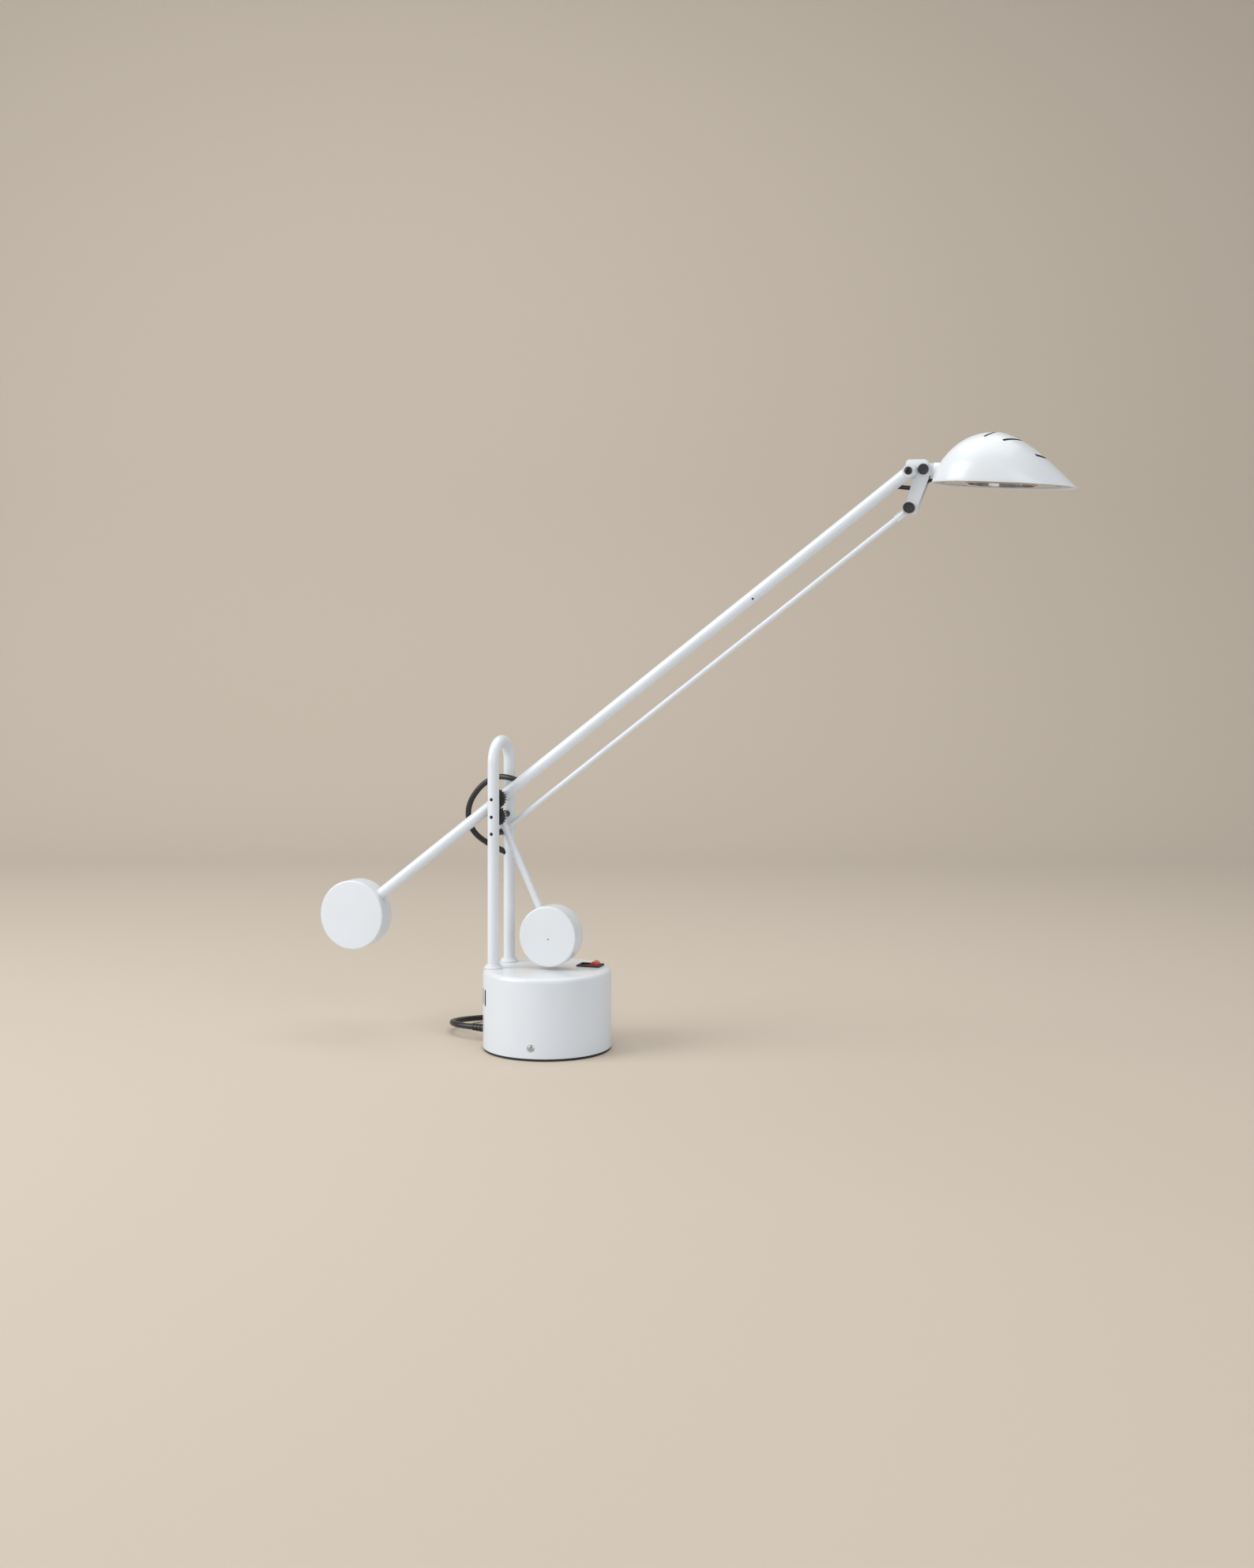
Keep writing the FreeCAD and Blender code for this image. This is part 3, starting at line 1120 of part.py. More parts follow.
def coil_path():
    """Half turns spiral in on the floor, climb a layer where the spiral turns back, and wind out on top."""
    pitch = size("lead_radius * 2 + coil_gap")
    step = pitch / 2
    inner = size("coil_inner_radius")
    below, above = 8, 7
    floor = size("tie_thickness + lead_radius + 0.1")
    turn = math.radians(size("coil_start_angle"))
    outward = Vector(math.cos(turn), math.sin(turn), 0)
    heading = Vector(math.sin(turn), -math.cos(turn), 0)
    centre = Vector(size("coil_centre_x"), size("coil_centre_y"), floor)
    radius = inner + step * below
    point = centre + outward * radius
    edges = [Part.LineSegment(point - heading * size("lead_radius * 2"), point).toShape()]
    entry = point - heading * size("lead_radius * 2")
    side = 1
    for index in range(below + 1 + above):
        climbing = index == below
        if climbing:
            radius = inner
        elif index < below:
            radius = inner + step * (below - index)
        else:
            radius = inner + step * (index - below)
        centre = point - outward * side * radius
        middle = centre + heading * side * radius
        end = centre - outward * side * radius
        if climbing:
            rise = Z * pitch
            slope = (outward * -side + Z * (2 * pitch / (math.pi * radius))).normalize()
            edges += biarc(point, heading * side, middle + rise / 2, slope)
            edges += biarc(middle + rise / 2, slope, end + rise, heading * -side)
            end = end + rise
        else:
            edges.append(Part.Arc(point, middle, end).toShape())
        point = end
        side = -side
    last_heading = heading * side
    edges.append(Part.LineSegment(point, point + last_heading * size("lead_radius * 2")).toShape())
    return edges, entry, heading, point + last_heading * size("lead_radius * 2"), last_heading


def least_self_gap(edges, diameter):
    """The least distance between turns of the coil, measured on points along its path."""
    points, along, travelled = [], [], 0.0
    for edge in edges:
        count = max(int(edge.Length / 1.5), 2)
        ends = edge.discretize(Number=count + 1)
        if points and (ends[-1] - points[-1]).Length < (ends[0] - points[-1]).Length:
            ends.reverse()
        for before, after in zip(ends, ends[1:]):
            points.append(before)
            along.append(travelled)
            travelled += (after - before).Length
        points.append(ends[-1])
        along.append(travelled)
    least = 1e9
    for i, p in enumerate(points):
        for j in range(i + 1, len(points)):
            if along[j] - along[i] > 4 * diameter:
                least = min(least, p.distanceToPoint(points[j]))
    return least - diameter


def mains_lead_points(start, entry, heading):
    """From the sleeve the stiff lead bows out, sinks to the floor and meets the coil squarely."""
    out = exit_direction()
    floor = entry.z
    return [
        start,
        start + out * 13.0,
        Vector(-98.6, 23.3, 9.4),
        Vector(-105.2, 35.1, 8.2),
        Vector(-106.0, 48.6, 6.7),
        Vector(-104.5, 62.5, 5.2),
        Vector(-97.0, 78.5, floor + 0.5),
        entry - heading * 18.0,
        entry,
    ]


def make_mains_lead(start):
    """Free stretch, coil, tie and plug of the mains lead."""
    edges, entry, heading, exit_point, last_heading = coil_path()
    radius = size("lead_radius")
    route = route_edges("mains_lead", mains_lead_points(start, entry, heading))
    keep("mains_lead", fixed("mains_lead", tube_along("mains_lead", route, radius)))
    keep("mains_coil", fixed("mains_coil", tube_along("mains_coil", edges, radius)))
    print("mains_coil: least gap between turns %.3f mm" % least_self_gap(edges, 2 * radius))
    make_tie()
    make_plug(exit_point, last_heading)


def make_tie():
    """Flat strap round the coil's turns, on the side away from the base."""
    pitch = size("lead_radius * 2 + coil_gap")
    inner = size("coil_inner_radius") - size("lead_radius") - 1.4
    outer = size("coil_inner_radius") + pitch * 4 + size("lead_radius") + 1.6
    height = size("tie_thickness * 2 + lead_radius * 4 + coil_gap + 0.6")
    thick = size("tie_thickness")
    hoop = Part.makeBox(outer - inner + 2 * thick, size("tie_width"), height,
                        Vector(inner - thick, -size("tie_width") / 2, 0))
    hole = Part.makeBox(outer - inner, size("tie_width") + 2, height - 2 * thick,
                        Vector(inner, -size("tie_width") / 2 - 1, thick))
    strap = fixed("cord_tie", hoop.cut(hole))
    strap.Placement = Placement(Vector(size("coil_centre_x"), size("coil_centre_y"), 0), Rotation(Z, 60))
    keep("cord_tie", strap)


def make_plug(start, direction):
    """Ringed sleeve, flat plug body and two round pins, lying beside the coil."""
    relief = sleeve("plug_sleeve", "plug_sleeve_length", "lead_radius + 0.35", "lead_radius + 1.7", 4)
    relief.Placement = Placement(start, Rotation(Z, direction))
    keep("plug_sleeve", relief)
    outline_half = [(0, 6), (8, 8), (17, "plug_width / 2"), ("plug_length - 3", "plug_width / 2"),
                    ("plug_length", "plug_width / 2 - 4")]
    corners = outline_half + [(x, "-(%s)" % y) for x, y in reversed(outline_half)]
    body = padded("plug_blank", "XY_Plane", corners, "plug_thickness")
    eased = rounded("plug_body", body, 1.5, lambda e: abs(e.Vertexes[0].Z - e.Vertexes[-1].Z) < 1e-6)
    base = start + direction * size("plug_sleeve_length")
    seat = Placement(Vector(base.x, base.y, size("plug_thickness / 2")), Rotation(X, direction))
    eased.Placement = seat
    keep("plug_body", eased)
    pins = []
    for side in (-1, 1):
        shank = cylinder("pin_shank_%d" % side, "pin_radius", "pin_length - 2", "plug_length",
                         "%d * pin_spacing / 2" % side, 0, "x")
        tip = bind(doc.addObject("Part::Cone", "pin_tip_%d" % side), Radius1="pin_radius", Radius2="pin_radius / 2")
        tip.Height = 2
        place(tip, "plug_length + pin_length - 2", "%d * pin_spacing / 2" % side, 0, ALONG["x"])
        pins.append(fuse("pin_%d" % side, shank, tip))
    both = group("plug_pins", *pins)
    both.Placement = seat
    keep("plug_pins", both)


# ---------------------------------------------------------------- build, check and write

make_base_shell()
make_base_plate()
make_foot_pad()
make_side_screws()
make_transformer()
make_terminal_block()
make_switch()
make_hoop()
make_collars_and_nuts()
make_axles()
make_spacers()
make_arm_gear()
make_lever_gear()
make_arm_tube()
make_arm_bush()
make_arm_weight()
make_arm_end_bush()
make_arm_inner_lead()
make_lever()
make_link_rod()
make_bracket()
make_pivots()
make_head_neck()
make_head_shell()
make_trim_plate()
make_trim_screws()
make_lamp()
make_inner_leads()
make_mains_lead(make_gland_and_sleeve())

doc.recompute()
for thing in doc.Objects:
    if "Invalid" in thing.State or "Error" in thing.State:
        raise RuntimeError("%s failed: %s" % (thing.Label, thing.State))
for name, thing in parts.items():
    shape = thing.Shape
    if shape.isNull() or not shape.isValid() or not shape.Solids:
        raise RuntimeError("%s has no valid solid" % name)

os.makedirs("parts", exist_ok=True)
for name, thing in parts.items():
    thing.Shape.exportStep("parts/%s.step" % name)
    print("%-22s %2d solid(s) %10.1f mm3" % (name, len(thing.Shape.Solids), thing.Shape.Volume))
print("%d sub-parts" % len(parts))
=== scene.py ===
# %% [markdown]
# # A counterweight balance lamp
# A round base holds a tall hoop. A long arm, a thin link rod and a short lever turn on three
# axles between the hoop's legs, and two white steel discs balance the egg-shaped head.
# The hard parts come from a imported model, which fixes every size. This lesson gives them their
# looks: finer meshes where the eye rests, and a finish for each material.

# %% Load the frame
import math

import bmesh
import bpy
from mathutils import Matrix, Vector


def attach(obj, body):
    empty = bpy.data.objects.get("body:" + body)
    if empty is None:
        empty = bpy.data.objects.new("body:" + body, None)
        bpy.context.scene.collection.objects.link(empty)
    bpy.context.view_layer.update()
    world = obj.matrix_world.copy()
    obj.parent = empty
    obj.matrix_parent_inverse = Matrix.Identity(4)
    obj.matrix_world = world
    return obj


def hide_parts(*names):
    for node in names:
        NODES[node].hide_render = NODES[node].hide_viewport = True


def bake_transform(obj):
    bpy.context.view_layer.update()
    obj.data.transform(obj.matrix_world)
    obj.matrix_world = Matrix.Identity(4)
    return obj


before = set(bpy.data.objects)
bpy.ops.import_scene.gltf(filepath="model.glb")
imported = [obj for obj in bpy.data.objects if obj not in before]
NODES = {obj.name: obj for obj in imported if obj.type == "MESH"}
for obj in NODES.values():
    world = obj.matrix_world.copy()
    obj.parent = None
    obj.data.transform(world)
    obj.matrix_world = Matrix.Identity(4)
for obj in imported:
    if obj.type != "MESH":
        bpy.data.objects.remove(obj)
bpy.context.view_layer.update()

# %% [markdown]
# The camera stands a little to the right of the base and looks past it. It could be tilted down
# to bring the base into view, but then the hoop's legs would lean in the picture. So it stays
# level, and a small downward shift of the lens does the same work with upright legs.

# %% Camera
MM = 0.001
SENSOR_WIDTH = 36
VIEW_TURN = math.radians(19)
PICTURE_LONG_SIDE = 1985
FOCAL_PIXELS = 2400
HORIZON_ABOVE_CENTRE = 194.5
EYE = (0.5937, -1.5142, 0.3575)

camera_data = bpy.data.cameras.new("camera")
camera_data.sensor_width = SENSOR_WIDTH
camera_data.lens = SENSOR_WIDTH * FOCAL_PIXELS / PICTURE_LONG_SIDE
camera_data.shift_y = -HORIZON_ABOVE_CENTRE / PICTURE_LONG_SIDE
camera_data.clip_start = 0.05
camera = bpy.data.objects.new("camera", camera_data)
bpy.context.scene.collection.objects.link(camera)
camera.location = EYE
camera.rotation_euler = (math.radians(90), 0, VIEW_TURN)
bpy.context.scene.camera = camera
print("lens %.1f mm, shift %.3f" % (camera_data.lens, camera_data.shift_y))

# %% [markdown]
# The mains lead is a stiff 5 mm cable. What isn't in use of it lies as a tied coil behind the
# base. A coil could be a screw modifier, but then it would be a piece apart from the lead. Half
# turns about two centres that swap sides give a spiral whose points join the lead's own line.

# %% The coil's half turns
LEAD_RADIUS = 2.5
COIL_CENTRE = Vector((-38.3, 97.9, 0))
COIL_START_TURN = math.radians(158)
COIL_INNER_RADIUS = 19.0
COIL_PITCH = 5.45
COIL_FLOOR = 3.3
HALF_TURNS_BELOW, HALF_TURNS_ABOVE = 8, 7
POINTS_PER_HALF_TURN = 9
OUTWARD = Vector((math.cos(COIL_START_TURN), math.sin(COIL_START_TURN), 0))
HEADING = Vector((math.sin(COIL_START_TURN), -math.cos(COIL_START_TURN), 0))


def coil_points():
    """Half turns that spiral in on the floor, climb one layer and wind out again on top."""
    spread = 1 / math.cos(math.pi / POINTS_PER_HALF_TURN / 2)
    step = COIL_PITCH / 2
    start_radius = COIL_INNER_RADIUS + step * HALF_TURNS_BELOW
    start = COIL_CENTRE + OUTWARD * start_radius + Vector((0, 0, COIL_FLOOR))
    points, here, side = [], start, 1
    for half_turn in range(HALF_TURNS_BELOW + 1 + HALF_TURNS_ABOVE):
        climbing = half_turn == HALF_TURNS_BELOW
        radius = COIL_INNER_RADIUS + step * abs(HALF_TURNS_BELOW - half_turn)
        centre = here - OUTWARD * side * radius
        for k in range(POINTS_PER_HALF_TURN):
            share = (k + 0.5) / POINTS_PER_HALF_TURN
            angle = math.pi * share
            spoke = OUTWARD * side * math.cos(angle) + HEADING * side * math.sin(angle)
            rise = COIL_PITCH * share if climbing else 0
            points.append(centre + spoke * radius * spread + Vector((0, 0, rise)))
        here = centre - OUTWARD * side * radius + Vector((0, 0, COIL_PITCH if climbing else 0))
        side = -side
    return start, points, here, HEADING * side


coil_start, coil_turns, coil_end, coil_end_heading = coil_points()
print("%d half turns, %d points" % (HALF_TURNS_BELOW + 1 + HALF_TURNS_ABOVE, len(coil_turns)))

# %% [markdown]
# From its ringed sleeve the lead runs straight out, bows to the side and sinks to the floor, as
# its weight would have it. Physics could lay it down, but a listed route is the same each run
# and meets the coil where it should.

# %% Route of the mains lead
EXIT_TURN = math.radians(170)
EXIT_WAY = Vector((math.cos(EXIT_TURN), math.sin(EXIT_TURN), 0))
SLEEVE_REACH, EXIT_HEIGHT = 76, 10
sleeve_end = EXIT_WAY * SLEEVE_REACH + Vector((0, 0, EXIT_HEIGHT))
lead_route = [
    sleeve_end,
    sleeve_end + EXIT_WAY * 13,
    Vector((-98.6, 23.3, 9.4)),
    Vector((-105.2, 35.1, 8.2)),
    Vector((-106.0, 48.6, 6.7)),
    Vector((-104.5, 62.5, 5.2)),
    Vector((-97.0, 78.5, COIL_FLOOR + 0.5)),
    coil_start - HEADING * 23,
    coil_start - HEADING * 5,
]
into_plug = [coil_end + coil_end_heading * 1.5, coil_end + coil_end_heading * 5]
lead_points = lead_route + coil_turns + into_plug
print("the lead's spline has %d points" % len(lead_points))

# %% [markdown]
# A cable could be swept along straight runs with filleted corners, as a bent rod is. A spline of
# order three with clamped ends looks springier, because it stays inside its control points. The
# order is set after the points, because a spline can't have a higher order than it has points.
# The tube is then kept as a mesh, whose box is no larger than the cable.

# %% Cable helpers
LINE_STEPS = 6


def spline_curve(name, points, radius):
    """A round cable along a smooth spline, points in millimetres."""
    curve = bpy.data.curves.new(name, "CURVE")
    curve.dimensions = "3D"
    spline = curve.splines.new("NURBS")
    spline.points.add(len(points) - 1)
    for spot, point in zip(spline.points, points):
        spot.co = (*(Vector(point) * MM), 1)
    spline.order_u = 3
    spline.use_endpoint_u = True
    spline.resolution_u = LINE_STEPS
    curve.bevel_depth = radius * MM
    curve.bevel_resolution = 5
    curve.use_fill_caps = True
    thing = bpy.data.objects.new(name, curve)
    bpy.context.scene.collection.objects.link(thing)
    return thing


def evaluated_mesh(thing):
    """The piece's mesh with all its modifiers and bevels worked out."""
    bpy.context.view_layer.update()
    graph = bpy.context.evaluated_depsgraph_get()
    return bpy.data.meshes.new_from_object(thing.evaluated_get(graph))


def as_mesh(curve_thing, name):
    """The curve's tube as a mesh object, and the points of its own line."""
    mesh = evaluated_mesh(curve_thing)
    curve_thing.data.bevel_depth = 0
    path = [tuple(v.co) for v in evaluated_mesh(curve_thing).vertices]
    bpy.data.objects.remove(curve_thing)
    mesh.name = name
    thing = bpy.data.objects.new(name, mesh)
    bpy.context.scene.collection.objects.link(thing)
    for face in mesh.polygons:
        face.use_smooth = True
    return thing, path


def path_length(path):
    """Length of a line of points, in metres."""
    return sum((Vector(a) - Vector(b)).length for a, b in zip(path, path[1:]))


# %% Mains lead
mains_line = spline_curve("mains_cable_line", lead_points, LEAD_RADIUS)
mains_lead, mains_path = as_mesh(mains_line, "mains_cable")
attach(mains_lead, "stand")
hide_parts("mains_lead", "mains_coil")
print("mains lead %.3f m" % path_length(mains_path))

# %% [markdown]
# The arm, the lever and the bracket all turn about known points. These are worked out once from
# the axles' places and the arm's angle, so that every later piece can be set on its own body.

# %% Places of the joints
ARM_ANGLE = math.radians(37.5)
ARM_WAY = Vector((math.cos(ARM_ANGLE), 0, math.sin(ARM_ANGLE)))
UPPER_AXLE = Vector((-42.5, 0, 213.0))
MIDDLE_AXLE = Vector((-42.5, 0, 198.0))
ARM_LENGTH = 447.5
ARM_END = UPPER_AXLE + ARM_WAY * ARM_LENGTH
HEAD_HINGE = ARM_END + Vector((10.0, 11.2, 1.9))
print("the arm ends %.0f mm above the floor" % ARM_END.z)

# %% [markdown]
# Three short lengths of the same black cable jump across the lamp's joints: a loop from the far
# leg over the arm's back, a jump from the arm into the bracket, and one from the bracket into the
# head. A rigid piece would tear away as its joint turns; each is made here as a mesh where it
# lies now, in place of its node.

# %% Leads across the joints
def joint_lead(name, points, radius, node):
    """A short lead as a mesh where it lies, in place of its node."""
    thing, path = as_mesh(spline_curve(name + "_line", points, radius), name)
    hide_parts(node)
    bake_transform(thing)
    return thing, path


LOOP_ROUTE = ((-41.5, 16.85, 162.5), (-62.0, 9.65, 172.0), (-76.5, 9.25, 185.0),
              (-78.5, 8.85, 203.5), (-67.0, 7.75, 221.0), (-50.5, 5.0, 230.8),
              (-36.0, 1.6, 230.8), (-25.0, 0.0, 227.5))
arm_loop, loop_path = joint_lead("arm_loop_cable", [Vector(p) for p in LOOP_ROUTE], LEAD_RADIUS,
                                 "arm_lead")

ARM_TO_BRACKET = ((-15.0, 0.2, -11.4), (-7.0, 8.0, -12.6), (3.2, 11.2, -13.0))
end_points = [ARM_END + Vector(p) for p in ARM_TO_BRACKET]
joint_lead("arm_end_cable", end_points, 1.8, "arm_end_lead")

BRACKET_TO_HEAD = ((4.4, -13.2), (8.8, -10.2), (13.0, -7.4), (18.0, -6.2))
head_points = [ARM_END + Vector((x, 11.2, z)) for x, z in BRACKET_TO_HEAD]
joint_lead("head_cable", head_points, 1.3, "head_lead")

# %% [markdown]
# Every finish is a small tree of nodes. Painted image maps would fix one resolution and need
# unwrapping, so tone, gloss and relief come from noise in the piece's own space instead. The next
# helpers make such a tree, turn noise into a blend, and turn noise into relief.

# %% Finish helpers
def new_finish(name):
    """A material with its Principled shader and its node tree."""
    finish = bpy.data.materials.new(name)
    finish.use_nodes = True
    return finish, finish.node_tree, finish.node_tree.nodes["Principled BSDF"]


def noise(tree, scale, detail=3.0, stretch=(1, 1, 1)):
    """A noise texture in object space; scale is in waves per metre."""
    where = tree.nodes.new("ShaderNodeTexCoord")
    mapping = tree.nodes.new("ShaderNodeMapping")
    mapping.inputs["Scale"].default_value = stretch
    texture = tree.nodes.new("ShaderNodeTexNoise")
    texture.inputs["Scale"].default_value = scale
    texture.inputs["Detail"].default_value = detail
    tree.links.new(where.outputs["Object"], mapping.inputs["Vector"])
    tree.links.new(mapping.outputs["Vector"], texture.inputs["Vector"])
    return texture.outputs["Fac"]


def ramp(tree, source, low, high, start=0.3, end=0.7):
    """Turns a 0..1 signal into a blend from one colour or grey to another."""
    node = tree.nodes.new("ShaderNodeValToRGB")
    node.color_ramp.elements[0].position = start
    node.color_ramp.elements[1].position = end
    for element, value in zip(node.color_ramp.elements, (low, high)):
        is_colour = hasattr(value, "__len__")
        element.color = (*value, 1) if is_colour else (value, value, value, 1)
    tree.links.new(source, node.inputs["Fac"])
    return node.outputs["Color"]


def bump(tree, shader, source, height, strength=1.0):
    """Relief of that height in metres, chained onto any bump the shader already has."""
    node = tree.nodes.new("ShaderNodeBump")
    node.inputs["Distance"].default_value = height
    node.inputs["Strength"].default_value = strength
    tree.links.new(source, node.inputs["Height"])
    if shader.inputs["Normal"].is_linked:
        tree.links.new(shader.inputs["Normal"].links[0].from_socket, node.inputs["Normal"])
    tree.links.new(node.outputs["Normal"], shader.inputs["Normal"])


# %% [markdown]
# The white parts are steel and aluminium under stove enamel. It is nearly even, but sprayed
# enamel keeps a faint ripple, its tone drifts slowly, and hands and cloths dull it a little. A
# clear coat over a rougher base gives the two highlights that such paint has. The ripple is bump,
# so the outline stays true.

# %% Stove enamel
TONE_DRIFT, HAND_MARKS, RIPPLE, SPRAY_GRIT = 14, 60, 420, 2600  # waves per metre


def stove_enamel(name, tone, gloss=0.28):
    """Sprayed white enamel, a little duller and yellower where it is worn."""
    finish, tree, shader = new_finish(name)
    worn = tuple(c * k for c, k in zip(tone, (0.955, 0.95, 0.935)))
    drift = ramp(tree, noise(tree, TONE_DRIFT, 2), worn, tuple(tone), 0.25, 0.6)
    tree.links.new(drift, shader.inputs["Base Color"])
    dulling = ramp(tree, noise(tree, HAND_MARKS, 5), gloss, gloss + 0.10)
    tree.links.new(dulling, shader.inputs["Roughness"])
    shader.inputs["Specular IOR Level"].default_value = 0.5
    shader.inputs["Coat Weight"].default_value = 0.35
    shader.inputs["Coat Roughness"].default_value = 0.12
    bump(tree, shader, noise(tree, RIPPLE, 2), 0.00006, 0.35)
    bump(tree, shader, noise(tree, SPRAY_GRIT, 1), 0.00001, 0.25)
    return finish


WHITE = stove_enamel("white_enamel", (0.80, 0.815, 0.83))
print("made", WHITE.name)

# %% [markdown]
# The dark pieces differ in grain: moulded gears and knobs have a fine spark-eroded grain, the
# cable's sheath is smoother with a soft sheen, and the pivots are oiled black steel. One helper
# makes them all, since only tone, roughness and grain change.

# %% Dark finishes
def moulded(name, tone, rough, grain_height=0.00003, grain_scale=3200):
    """Moulded plastic or rubber: a slow drift of tone, uneven sheen and a fine grain."""
    finish, tree, shader = new_finish(name)
    drift = ramp(tree, noise(tree, 90, 3), [c * 0.8 for c in tone], [c * 1.25 for c in tone])
    tree.links.new(drift, shader.inputs["Base Color"])
    sheen = ramp(tree, noise(tree, 300, 4), rough - 0.06, rough + 0.08)
    tree.links.new(sheen, shader.inputs["Roughness"])
    bump(tree, shader, noise(tree, grain_scale, 2), grain_height, 0.5)
    return finish


BLACK = moulded("black_moulding", (0.026, 0.025, 0.026), 0.45)
RUBBER = moulded("cable_sheath", (0.020, 0.018, 0.018), 0.33, 0.00002, 1500)
FOOT_RUBBER = moulded("foot_rubber", (0.022, 0.024, 0.032), 0.6, 0.00006, 1800)
OXIDE = moulded("black_oxide", (0.045, 0.045, 0.047), 0.32, 0.00001, 2500)
OXIDE.node_tree.nodes["Principled BSDF"].inputs["Metallic"].default_value = 0.6
CERAMIC = moulded("lamp_ceramic", (0.72, 0.70, 0.64), 0.6)
STRAP = moulded("tie_strap", (0.022, 0.022, 0.024), 0.5)
# Painted shade: a dark tone for the insides of the cup and head and the walls of the head's slots.
INSIDE_SHADE = moulded("dark_primer", (0.035, 0.034, 0.033), 0.7)
dark = (BLACK, RUBBER, FOOT_RUBBER, OXIDE, CERAMIC, STRAP, INSIDE_SHADE)
print("made", ", ".join(finish.name for finish in dark))

# %% [markdown]
# Metals: zinc-plated steel for what holds the base shut, nickel for the plug's pins, a polished
# plate under the head, copper for the winding and varnished iron sheets for the core. A full
# metal shader would look like glass beads if its gloss were even, so the streaks of its making
# vary the gloss and leave a hint of relief.

# %% Metals
def metal(name, tone, rough, brushed=(1, 1, 1), grain=900, height=0.00001):
    """Bare or plated metal; `brushed` stretches its streaks along one axis."""
    finish, tree, shader = new_finish(name)
    shader.inputs["Metallic"].default_value = 1.0
    drift = ramp(tree, noise(tree, 40, 3), [c * 0.9 for c in tone], tone)
    tree.links.new(drift, shader.inputs["Base Color"])
    streaks = noise(tree, grain, 4, brushed)
    tree.links.new(ramp(tree, streaks, rough * 0.8, rough * 1.25), shader.inputs["Roughness"])
    bump(tree, shader, streaks, height, 0.4)
    return finish


ZINC = metal("zinc_plate", (0.62, 0.63, 0.64), 0.32)
NICKEL = metal("nickel_pins", (0.70, 0.67, 0.60), 0.22)
POLISHED = metal("polished_plate", (0.60, 0.555, 0.53), 0.14, (1, 12, 1), 500, 0.000004)
MIRROR = metal("reflector_bowl", (0.50, 0.47, 0.45), 0.18, (1, 1, 1), 260, 0.00005)
COPPER = metal("copper_wire", (0.70, 0.30, 0.13), 0.35, (1, 1, 60), 60, 0.0002)
IRON = metal("core_sheets", (0.20, 0.18, 0.17), 0.45, (1, 60, 1), 40, 0.0002)
bright = (ZINC, NICKEL, POLISHED, MIRROR, COPPER, IRON)
print("made", ", ".join(finish.name for finish in bright))

# %% [markdown]
# The rocker is tinted clear plastic. Real transmission would show the empty well under it, so a
# little red light scattered under the surface and a gloss coat stand in for depth. The lamp's
# pane and capsule are true glass, because something behind them has to show.

# %% Red rocker and clear glass
def clear_red():
    """Tinted clear plastic: red where it is thick, with a gloss on top."""
    finish, tree, shader = new_finish("red_rocker")
    drift = ramp(tree, noise(tree, 120, 2), (0.50, 0.018, 0.010), (0.66, 0.035, 0.018))
    tree.links.new(drift, shader.inputs["Base Color"])
    shader.inputs["Roughness"].default_value = 0.18
    shader.inputs["Coat Weight"].default_value = 0.5
    shader.inputs["Subsurface Weight"].default_value = 0.15
    shader.inputs["Subsurface Radius"].default_value = (0.004, 0.0006, 0.0004)
    shader.inputs["Subsurface Scale"].default_value = 1.0
    bump(tree, shader, noise(tree, 900, 2), 0.00001, 0.4)
    return finish


def clear_glass(name, frosting):
    """Clear glass with a trace of unevenness in gloss and surface."""
    finish, tree, shader = new_finish(name)
    shader.inputs["Base Color"].default_value = (0.93, 0.96, 0.95, 1)
    shader.inputs["Transmission Weight"].default_value = 1.0
    shader.inputs["IOR"].default_value = 1.5
    haze = ramp(tree, noise(tree, 30, 2), frosting, frosting + 0.03)
    tree.links.new(haze, shader.inputs["Roughness"])
    bump(tree, shader, noise(tree, 60, 1), 0.00002, 0.2)
    return finish


RED = clear_red()
GLASS = clear_glass("cover_pane", 0.02)
QUARTZ = clear_glass("lamp_quartz", 0.05)
print("made", ", ".join(finish.name for finish in (RED, GLASS, QUARTZ)))

# %% [markdown]
# Most of the lamp is turned: base, discs, knobs, screws. A turned piece could be a curve with a
# screw modifier, but a ring of points for each step of its outline is exact and lets a knob have
# flutes. Corners are drawn as small curves first, since no real edge is sharp.

# %% Turned pieces
def mesh_object(name, bm):
    """The bmesh as an object; its numbers are millimetres until it is set in place."""
    bmesh.ops.recalc_face_normals(bm, faces=bm.faces)
    mesh = bpy.data.meshes.new(name)
    bm.to_mesh(mesh)
    bm.free()
    thing = bpy.data.objects.new(name, mesh)
    bpy.context.scene.collection.objects.link(thing)
    return thing


def softened(corners, reach, steps=4):
    """A closed outline with each corner drawn as a small curve that starts `reach` before it."""
    points = []
    for i, corner in enumerate(corners):
        here = Vector(corner)
        before, after = Vector(corners[i - 1]), Vector(corners[(i + 1) % len(corners)])
        r = reach[i] if hasattr(reach, "__len__") else reach
        if r == 0:
            points.append(here)
            continue
        a = here + (before - here).normalized() * min(r, (before - here).length * 0.45)
        b = here + (after - here).normalized() * min(r, (after - here).length * 0.45)
        for k in range(steps + 1):
            t = k / steps
            points.append(a.lerp(here, t).lerp(here.lerp(b, t), t))
    return points


def skin(name, rings):
    """A closed surface over a loop of rings; a ring of one point is a pole."""
    bm = bmesh.new()
    rings = [[bm.verts.new(point) for point in ring] for ring in rings]
    steps = max(len(ring) for ring in rings)
    for low, high in zip(rings, rings[1:] + rings[:1]):
        for k in range(steps):
            n = (k + 1) % steps
            if len(low) == 1 and len(high) == 1:
                break
            if len(low) == 1:
                bm.faces.new((low[0], high[k], high[n]))
            elif len(high) == 1:
                bm.faces.new((low[k], low[n], high[0]))
            else:
                bm.faces.new((low[k], low[n], high[n], high[k]))
    return mesh_object(name, bm)


